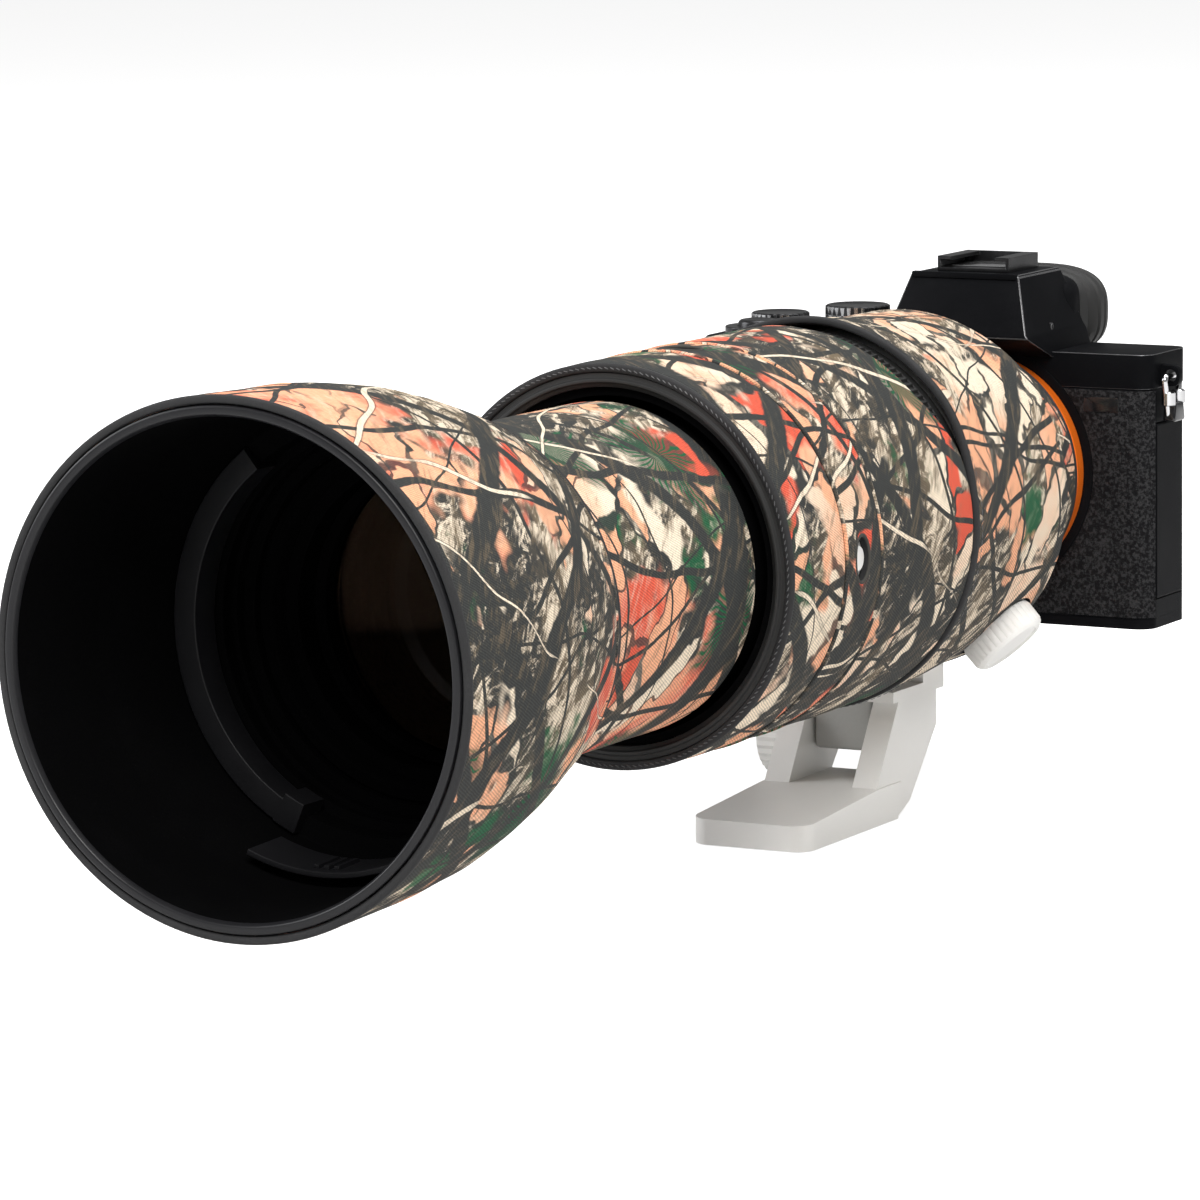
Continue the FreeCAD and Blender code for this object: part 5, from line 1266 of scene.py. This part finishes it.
class CAMERALOOK_OT_body(bpy.types.Operator):
    """Body shells, grained skin, hand grip, base and mount"""
    bl_idname = "camera_look.body"
    bl_label = "Camera Body"

    def execute(self, context):
        for node, finish, bevel in (
                ("front_housing", "body_metal", 0.35), ("rear_housing", "body_metal", 0.35),
                ("base_plate", "body_metal", 0.6), ("battery_door", "body_metal", 0.4),
                ("port_door", "body_metal", 0.45), ("card_door", "grained_skin", 0.45),
                ("body_mount", "bright_steel", 0.25), ("mount_trim_ring", "trim_ring", 0.2),
                ("shutter_unit", "flocked_black", 0.2), ("sensor_unit", "gloss_black", 0.2),
                ("main_board", "board_green", 0.1), ("battery", "battery_grey", 0.5),
                ("lens_release_button", "dial_black", 0.5)):
            dress(node, finish, bevel, 3)
        self.front_skin()
        self.grip()
        self.plates()
        return {"FINISHED"}

    def front_skin(self):
        """Grained skin over the front, round the right corner, open round the mount."""
        low, high = span("front_housing")
        right, front = high.x, low.y
        top, base = high.z - 0.3, low.z + 0.3
        path = [(-49.5, front)]
        path += [(right - 5.0, front)]
        for k in range(1, 9):
            turn = math.radians(90.0 * k / 8)
            path.append((right - 5.0 + 5.0 * math.sin(turn), front + 5.0 - 5.0 * math.cos(turn)))
        path[-1] = (right, front + 3.6)
        path = [p for p in path if p[1] <= front + 3.7]
        outward = []
        for k in range(len(path)):
            before = Vector(path[max(0, k - 1)])
            after = Vector(path[min(len(path) - 1, k + 1)])
            along = (after - before).normalized()
            outward.append(Vector((along.y, -along.x)))
        thick = 0.45
        outline = [tuple(Vector(p) + n * thick) for p, n in zip(path, outward)]
        outline += [tuple(Vector(p) - n * 0.3) for p, n in zip(reversed(path), reversed(outward))]
        skin = prism("front_skin", outline, "z", base, top, "grained_skin", CAMERA_BODY)
        hole = cutter_disc("hole_mount", 34.0, front)
        release = span("lens_release_button")
        middle = (release[0] + release[1]) / 2
        spot = cutter("hole_release", disc(6.2, middle.x, middle.z, 40), "y", front - 4, front + 4)
        carved(skin, hole, spot)
        bevelled(skin, 0.25, 2, 40)
        face = rounded([(33.8, front + 0.1), (33.8, front - 0.35), (31.4, front - 0.35),
                        (31.4, front + 0.1)], 0.15)
        turned("mount_surround", face, "body_metal", CAMERA_BODY, steps=96)

    def grip(self):
        """Hand grip: a rounded column, fuller at the front, over the battery's well."""
        low, high = span("hand_grip")
        rings = []
        levels = 22
        for k in range(levels + 1):
            share = k / levels
            z = low.z + (high.z - low.z) * share
            depth = low.y + 3.2 * max(0.0, 1 - share * 3.0) ** 2 + 1.8 * max(0.0, share - 0.55) ** 2 * 4
            depth += 0.5 * math.sin(math.pi * share)
            inner = high.x
            ring = rounded([(low.x + 1.2, high.y + 4), (low.x + 0.3, depth + 6.0), (low.x + 6.0, depth),
                            (inner - 9.0, depth + 0.6), (inner - 0.6, depth + 8.5),
                            (inner, high.y + 0.1)],
                           [1.0, 4.0, 6.5, 5.0, 6.0, 0.5], steps=6)
            rings.append([(x, y, z) for x, y in ring])
        piece = lofted("grip_shell", rings, "grained_skin", CAMERA_BODY, ("hand_grip",))
        dial = span("front_dial")
        middle = (dial[0] + dial[1]) / 2
        slot = cutter("hole_dial", disc(7.5, middle.y, middle.z, 40), "x", dial[0].x - 0.5,
                      dial[1].x + 0.5)
        button = span("shutter_button")
        spot = (button[0] + button[1]) / 2
        well = cutter("hole_button", disc(BUTTON_WELL, spot.x, spot.y, 40), "z", 26.0, 40.0)
        bay = span("battery")
        hollow = cutter("hole_battery", oblong(bay[0].x - 0.6, bay[0].y - 0.6, bay[1].x + 0.6, 12.0, 0),
                        "z", low.z - 1, bay[1].z + 0.6)
        carved(piece, slot, well, hollow)

    def plates(self):
        """A blank name plate on the front and a thumb rest behind."""
        low = span("front_housing")[0]
        plate = prism("name_plate", oblong(31.5, 16.6, 41.5, 20.6, 0.4), "y", low.y - 0.75, low.y,
                      "gloss_black", CAMERA_BODY)
        bevelled(plate, 0.12, 2)
        back = span("rear_housing")[1].y
        rest = []
        for k in range(9):
            share = k / 8
            z = -6.0 + 27.0 * share
            bulge = 3.2 * math.sin(math.pi * min(1.0, share * 1.15)) ** 0.8 if share < 0.87 else 0.9
            rest.append([(x, back - 0.3 + bulge * w, z) for x, w in (
                (-73.8, 0.0), (-73.6, 0.5), (-72.5, 0.9), (-70.0, 1.0), (-68.6, 0.7), (-68.0, 0.0))])
        lofted("thumb_rest", rest, "grained_skin", CAMERA_BODY)


class CAMERALOOK_OT_top(bpy.types.Operator):
    """Top cover, finder hump, shoe, finder and eyecup"""
    bl_idname = "camera_look.top"
    bl_label = "Top Cover"

    def execute(self, context):
        self.cover()
        self.hump()
        self.finder()
        dress("hot_shoe", "dial_black", 0.2)
        low, high = span("hot_shoe")
        leaf = prism("shoe_leaf", oblong(-8.6, low.y + 4.0, 8.6, high.y - 1.5, 0.8), "z", low.z + 1.02,
                     low.z + 1.35, "bright_steel", CAMERA_BODY)
        bevelled(leaf, 0.1, 2)
        return {"FINISHED"}

    def cover(self):
        low = span("top_cover")[0]
        base, top = low.z, 32.0
        front, back = span("front_housing")[0].y, span("rear_housing")[1].y
        right, left = span("front_housing")[1].x, -span("front_housing")[0].x
        slab = prism("top_shell", oblong(-left, front - 0.1, right, back, 5.0, 8), "z", base + 0.12, top,
                     "body_metal", CAMERA_BODY, ("top_cover",))
        dial = span("rear_dial")
        middle = (dial[0] + dial[1]) / 2
        radius = (dial[1].x - dial[0].x) / 2 + 0.5
        well = cutter("hole_rear_dial", disc(radius, middle.x, middle.y), "z", dial[0].z - 0.4,
                      dial[1].z + 0.4)
        carved(slab, cutter_disc("hole_throat", 24.0, front), well)
        # The rounding gets the painted edge highlight.
        bevelled(slab, 0.45, 3, 35, "painted_edge_highlight")
        deck_outline = rounded([(-76.0, 11.0), (-49.5, 11.0), (-49.5, -2.0), (-52.5, -12.0),
                                (-72.0, -12.2), (-76.0, -6.0)], [2, 2, 5, 5, 7, 5], steps=6)
        rings = []
        for z, grow in ((29.9, 0.0), (32.4, 0.0), (33.3, -0.25), (33.8, -0.8), (34.0, -1.7)):
            centre = Vector((-62.5, -1.0))
            ring = []
            for p in deck_outline:
                away = Vector(p) - centre
                ring.append((*(centre + away * (1 + grow / away.length)), z))
            rings.append(ring)
        deck = lofted("grip_deck", rings, "body_metal", CAMERA_BODY)
        button = span("shutter_button")
        spot = (button[0] + button[1]) / 2
        well = cutter("hole_deck_button", disc(BUTTON_WELL, spot.x, spot.y), "z", 26.0, 40.0)
        carved(deck, well)
        for name, node in (("lug_near", "strap_ring_near"), ("lug_far", "strap_ring_far")):
            ring = span(node)
            middle = (ring[0] + ring[1]) / 2
            sign = 1 if middle.x > 0 else -1
            edge = right if sign > 0 else -left
            eye = edge + sign * 2.6
            tab = prism(name, rounded([(edge - sign * 1.0, 23.2), (edge + sign * 5.2, 23.2),
                                       (edge + sign * 5.2, 28.8), (edge - sign * 1.0, 28.8)],
                                      [0.2, 2.4, 2.4, 0.2], steps=6), "y", 12.7, 15.3,
                        "body_metal", CAMERA_BODY)
            carved(tab, cutter("hole_" + name, disc(1.7, eye, 26.0, 32), "y", 8, 20))
            bevelled(tab, 0.3, 2, 40)

    def hump(self):
        levels = ((30.5, 4.6, 30.0, 22.6), (36.3, -8.0, 30.0, 20.9), (37.4, -7.9, 29.7, 20.2),
                  (52.0, -2.2, 24.8, 15.7), (52.6, -1.6, 24.2, 15.0))
        rings = []
        for z, y0, y1, half in levels:
            rings.append([(-half, y0, z), (half, y0, z), (half, y1, z), (-half, y1, z)])
        piece = lofted("finder_hump", rings, "body_metal", CAMERA_BODY)
        box_low, box_high = span("viewfinder_unit")
        well = cutter("hole_finder", oblong(box_low.x - 0.2, box_low.z - 0.2, box_high.x + 0.2,
                                            box_high.z + 0.2, 0.8), "y", box_low.y - 0.2, 40.0)
        carved(piece, well)
        # The rounding gets the painted edge highlight.
        bevelled(piece, 0.42, 3, 25, "painted_edge_highlight")
        cheek = []
        for y, half, z0, z1 in (
                (18.5, 15.0, 33.5, 46.5), (22.0, 18.0, 32.4, 49.2), (25.5, 19.3, 31.9, 50.2),
                (29.0, 19.2, 31.7, 50.5), (31.6, 18.2, 31.9, 50.4), (32.6, 16.8, 32.4, 49.8)):
            cheek.append(squircle(half, (z1 - z0) / 2, 4.2, 56, y, 0.0, (z0 + z1) / 2))
        housing = lofted("eyepiece_housing", cheek, "body_metal", CAMERA_BODY)
        well = cutter("hole_eyepiece", oblong(-11.7, 31.4, 11.7, 46.7, 0.8), "y", 7.0, 40.0)
        carved(housing, well)
        knurled("hump_screw", "x", (9.2, 38.2), 1.15, 18.6, 20.2, 12, 0.0, "dial_black",
                CAMERA_BODY, chamfer=0.25, dish=0.25)
        lip = prism("hump_brow", rounded([(-15.4, 51.4), (15.4, 51.4), (15.1, 52.9), (-15.1, 52.9)], 0.4),
                    "y", -2.9, -1.2, "body_metal", CAMERA_BODY)
        bevelled(lip, 0.3, 2)

    def finder(self):
        low, high = span("viewfinder_unit")
        block = prism("finder_block", oblong(low.x, low.z, high.x, high.z, 1.2), "y", low.y, high.y,
                      "hood_black", CAMERA_BODY, ("viewfinder_unit",))
        bevelled(block, 0.4, 2)
        pane = prism("finder_pane", oblong(low.x + 1.6, low.z + 1.8, high.x - 1.6, high.z - 1.8, 2.0),
                     "y", high.y - 0.2, high.y + 0.25, "gloss_black", CAMERA_BODY)
        bevelled(pane, 0.15, 2)
        cup_low, cup_high = span("eyecup")
        mid = (cup_low.z + cup_high.z) / 2
        half_x, half_z = (cup_high.x - cup_low.x) / 2, (cup_high.z - cup_low.z) / 2
        rings = []
        for y, sx, sz, power in (
                (31.6, 15.4, 9.4, 4.0), (32.4, 18.0, 10.9, 3.6), (34.8, 19.2, 11.5, 3.4),
                (35.5, 18.2, 10.7, 3.4), (36.3, 19.8, 11.8, 3.3), (38.0, half_x - 0.2, half_z - 0.2, 3.0),
                (38.7, half_x - 1.2, half_z - 1.1, 2.9), (39.5, half_x, half_z, 2.9),
                (41.6, half_x, half_z, 2.9), (42.3, half_x - 1.1, half_z - 1.0, 2.9),
                (43.1, half_x - 0.1, half_z - 0.1, 2.9), (44.8, half_x - 0.3, half_z - 0.3, 2.9),
                (45.8, half_x - 1.2, half_z - 1.0, 2.9), (46.0, half_x - 2.4, half_z - 2.0, 2.9),
                (45.4, half_x - 3.8, half_z - 3.0, 3.0), (42.5, 14.2, 9.3, 3.2), (38.5, 13.2, 8.8, 3.6),
                (34.5, 12.6, 8.4, 4.0)):
            rings.append(squircle(sx, sz, power, 72, min(y, cup_high.y), 0.0, mid))
        hole_start = rings[0]
        rings.append([(x * 0.83, y + 0.2, mid + (z - mid) * 0.86) for x, y, z in hole_start])
        rings.append(hole_start)
        lofted("eyecup_rubber", rings, "ring_rubber", CAMERA_BODY, ("eyecup",),
               close_start=False, close_end=False)
        prism("eyecup_mark", rounded([(36.6, 40.6), (37.6, 40.6), (37.9, 42.2), (36.9, 42.2)], 0.2),
              "x", 18.9, 19.75, "orange_mark", CAMERA_BODY)


class CAMERALOOK_OT_controls(bpy.types.Operator):
    """Dials, buttons, screen and strap rings"""
    bl_idname = "camera_look.controls"
    bl_label = "Controls and Screen"

    def execute(self, context):
        teeth = context.scene.camera_look_body.teeth
        for node, count, rows, dish in (
                ("mode_dial", teeth, 4, 0.25), ("exposure_dial", teeth, 3, 0.25),
                ("rear_dial", 46, 1, 0.0)):
            low, high = span(node)
            middle = (low + high) / 2
            radius = (high.x - low.x) / 2
            bottom = max(low.z, 32.1) if node != "rear_dial" else low.z
            knurled(node + "_cap", "z", (middle.x, middle.y), radius, bottom, high.z, count, 0.6,
                    "dial_black", node, (node,), rows=rows, dish=dish, wall="knurl_painted_highlight")
        low, high = span("front_dial")
        middle = (low + high) / 2
        knurled("front_dial_wheel", "x", (middle.y, middle.z), (high.z - low.z) / 2, low.x, high.x, 40,
                0.35, "dial_black", "front_dial", ("front_dial",))
        low, high = span("control_wheel")
        middle = (low + high) / 2
        knurled("control_wheel_ring", "y", (middle.x, middle.z), (high.x - low.x) / 2, low.y, high.y,
                48, 0.25, "dial_black", "control_wheel", ("control_wheel",), dish=0.7)
        knurled("control_wheel_hub", "y", (middle.x, middle.z), 4.0, high.y - 1.2, high.y - 0.15, 24, 0.0,
                "body_metal", "control_wheel", chamfer=0.3, dish=0.2)
        low, high = span("shutter_button")
        middle = (low + high) / 2
        rings = []
        for r, z in ((5.5, low.z), (5.5, high.z - 1.1), (5.3, high.z - 0.6), (4.8, high.z - 0.22),
                     (4.0, high.z - 0.05), (2.5, high.z - 0.35), (0.05, high.z - 0.5)):
            rings.append([(x, y, z) for x, y in disc(r, middle.x, middle.y)])
        lofted("shutter_cap", rings, "dial_black", "shutter_button", ("shutter_button",))
        for node in ("power_lever", "rear_buttons"):
            dress(node, "dial_black", 0.35, 3)
        for name, node in (("strap_guard_near", "strap_ring_near"),
                           ("strap_guard_far", "strap_ring_far")):
            dress(node, "bright_steel")
            low, high = span(node)
            middle = (low + high) / 2
            sign = 1 if middle.x > 0 else -1
            inner, outer = middle.x - sign * 1.2, middle.x + sign * 2.3
            guard = prism(name, rounded([(low.y + 2.2, low.z - 0.6), (high.y - 2.2, low.z - 0.6),
                                         (high.y - 3.3, low.z + 4.4), (low.y + 3.3, low.z + 4.4)], 0.9),
                          "x", min(inner, outer), max(inner, outer), "gloss_black", node)
            bevelled(guard, 0.5, 3, 40)
            for side, place in (("front", low.y + 2.6), ("back", high.y - 2.6)):
                knurled(f"{name}_{side}", "z", (middle.x + sign * 0.45, place), 1.85, low.z + 3.6,
                        low.z + 7.4, 12, 0.0, "bright_steel", node, chamfer=0.5)
        self.screen()
        return {"FINISHED"}

    def screen(self):
        dress("screen_bracket", "body_metal", 0.2)
        low, high = span("screen_panel")
        dress("screen_panel", "body_metal", 0.5, 3)
        glass = prism("screen_glass", oblong(low.x + 2.2, low.z + 2.0, high.x - 2.2, high.z - 3.4, 1.4),
                      "y", high.y - 0.3, high.y + 0.18, screen_material(), "screen")
        bevelled(glass, 0.12, 2, 40)


# ------------------------------------------------------------------ stage
VIEW_PLACE = (0.68633, -1.35981, 0.28435)
VIEW_TURN, VIEW_PITCH, VIEW_ROLL = math.radians(28.604), math.radians(-8.39), math.radians(-0.742)
LAMPS_AIM = Vector((0, -0.05, 0.07))
FLOOR_HALF = 30.0


class CAMERALOOK_OT_stage(bpy.types.Operator):
    """Floor, lights and the viewing camera"""
    bl_idname = "camera_look.stage"
    bl_label = "Stage"

    def execute(self, context):
        look = context.scene.camera_look_stage
        scene = context.scene
        data = bpy.data.cameras.new("view")
        data.lens = look.focal
        data.sensor_width = 36.0
        view = bpy.data.objects.new("view", data)
        scene.collection.objects.link(view)
        turn = (Matrix.Rotation(VIEW_TURN, 4, "Z") @ Matrix.Rotation(math.pi / 2 + VIEW_PITCH, 4, "X")
                @ Matrix.Rotation(VIEW_ROLL, 4, "Z"))
        view.matrix_world = Matrix.Translation(VIEW_PLACE) @ turn
        scene.camera = view
        self.floor(look, scene)
        for name, place, size, power, colour in (
                ("key", (0.95, -1.5, 1.75), 1.3, look.key, (1.0, 0.985, 0.965)),
                ("side", (-1.7, -0.7, 0.9), 1.2, look.key * 0.45, (0.97, 0.985, 1.0)),
                ("top", (0.1, 0.4, 1.9), 1.5, look.key * 0.55, (1.0, 1.0, 1.0)),
                ("back", (1.5, 1.3, 1.3), 0.7, look.key * 0.10, (1.0, 1.0, 1.0))):
            lamp = bpy.data.lights.new(name, "AREA")
            lamp.energy = power
            lamp.size = size
            lamp.color = colour
            light = bpy.data.objects.new(name, lamp)
            scene.collection.objects.link(light)
            light.location = place
            aim = LAMPS_AIM - Vector(place)
            light.rotation_euler = aim.to_track_quat("-Z", "Y").to_euler()
        world = bpy.data.worlds.new("surround")
        scene.world = world
        world.use_nodes = True
        background = world.node_tree.nodes["Background"]
        background.inputs["Color"].default_value = (1.0, 1.0, 1.0, 1.0)
        background.inputs["Strength"].default_value = look.sky
        scene.view_settings.view_transform = "Standard"
        return {"FINISHED"}

    def floor(self, look, scene):
        mesh = bpy.data.meshes.new("floor")
        corners = ((-1, -1), (1, -1), (1, 1), (-1, 1))
        mesh.from_pydata([(x * FLOOR_HALF, y * FLOOR_HALF, -0.0002) for x, y in corners], [],
                         [(0, 1, 2, 3)])
        floor = bpy.data.objects.new("floor", mesh)
        scene.collection.objects.link(floor)
        material, n, shader = new_material("floor_paint")
        place = n.add("ShaderNodeTexCoord").outputs["Object"]
        soft = n.mottle(place, 3.0, 2.0).outputs["Fac"]
        colour = tuple(look.floor)
        duller = four([c * 0.985 for c in colour])
        n.feed(shader.inputs["Base Color"], n.blend(soft, four(colour), duller))
        shader.inputs["Roughness"].default_value = 0.85
        shader.inputs["Emission Color"].default_value = (1, 1, 1, 1)
        seen = n.add("ShaderNodeLightPath").outputs["Is Camera Ray"]
        n.feed(shader.inputs["Emission Strength"], n.math("MULTIPLY", seen, look.glow))
        mesh.materials.append(material)


OPERATORS = (CAMERALOOK_OT_hood_sleeve, CAMERALOOK_OT_barrel_sleeve, CAMERALOOK_OT_main_sleeves,
             CAMERALOOK_OT_hood, CAMERALOOK_OT_lens, CAMERALOOK_OT_foot, CAMERALOOK_OT_body,
             CAMERALOOK_OT_top, CAMERALOOK_OT_controls, CAMERALOOK_OT_stage)


class CAMERALOOK_PT_panel(bpy.types.Panel):
    """Settings and makers of the camera's look"""
    bl_idname = "CAMERALOOK_PT_panel"
    bl_label = "Camera Look"
    bl_space_type = "VIEW_3D"
    bl_region_type = "UI"
    bl_category = "Camera Look"

    def draw(self, context):
        for name, settings in SETTINGS:
            box = self.layout.box()
            for key in settings.__annotations__:
                box.prop(getattr(context.scene, name), key)
        for operator in OPERATORS:
            self.layout.operator(operator.bl_idname)


def register():
    for name, settings in SETTINGS:
        bpy.utils.register_class(settings)
        setattr(bpy.types.Scene, name, bpy.props.PointerProperty(type=settings))
    for item in (*OPERATORS, CAMERALOOK_PT_panel):
        bpy.utils.register_class(item)


def unregister():
    for item in (CAMERALOOK_PT_panel, *reversed(OPERATORS)):
        bpy.utils.unregister_class(item)
    for name, settings in reversed(SETTINGS):
        delattr(bpy.types.Scene, name)
        bpy.utils.unregister_class(settings)


def main():
    register()
    bpy.ops.camera_look.stage()
    bpy.ops.camera_look.hood_sleeve()
    bpy.ops.camera_look.barrel_sleeve()
    bpy.ops.camera_look.main_sleeves()
    bpy.ops.camera_look.hood()
    bpy.ops.camera_look.lens()
    bpy.ops.camera_look.foot()
    bpy.ops.camera_look.body()
    bpy.ops.camera_look.top()
    bpy.ops.camera_look.controls()


if __name__ == "__main__":
    main()
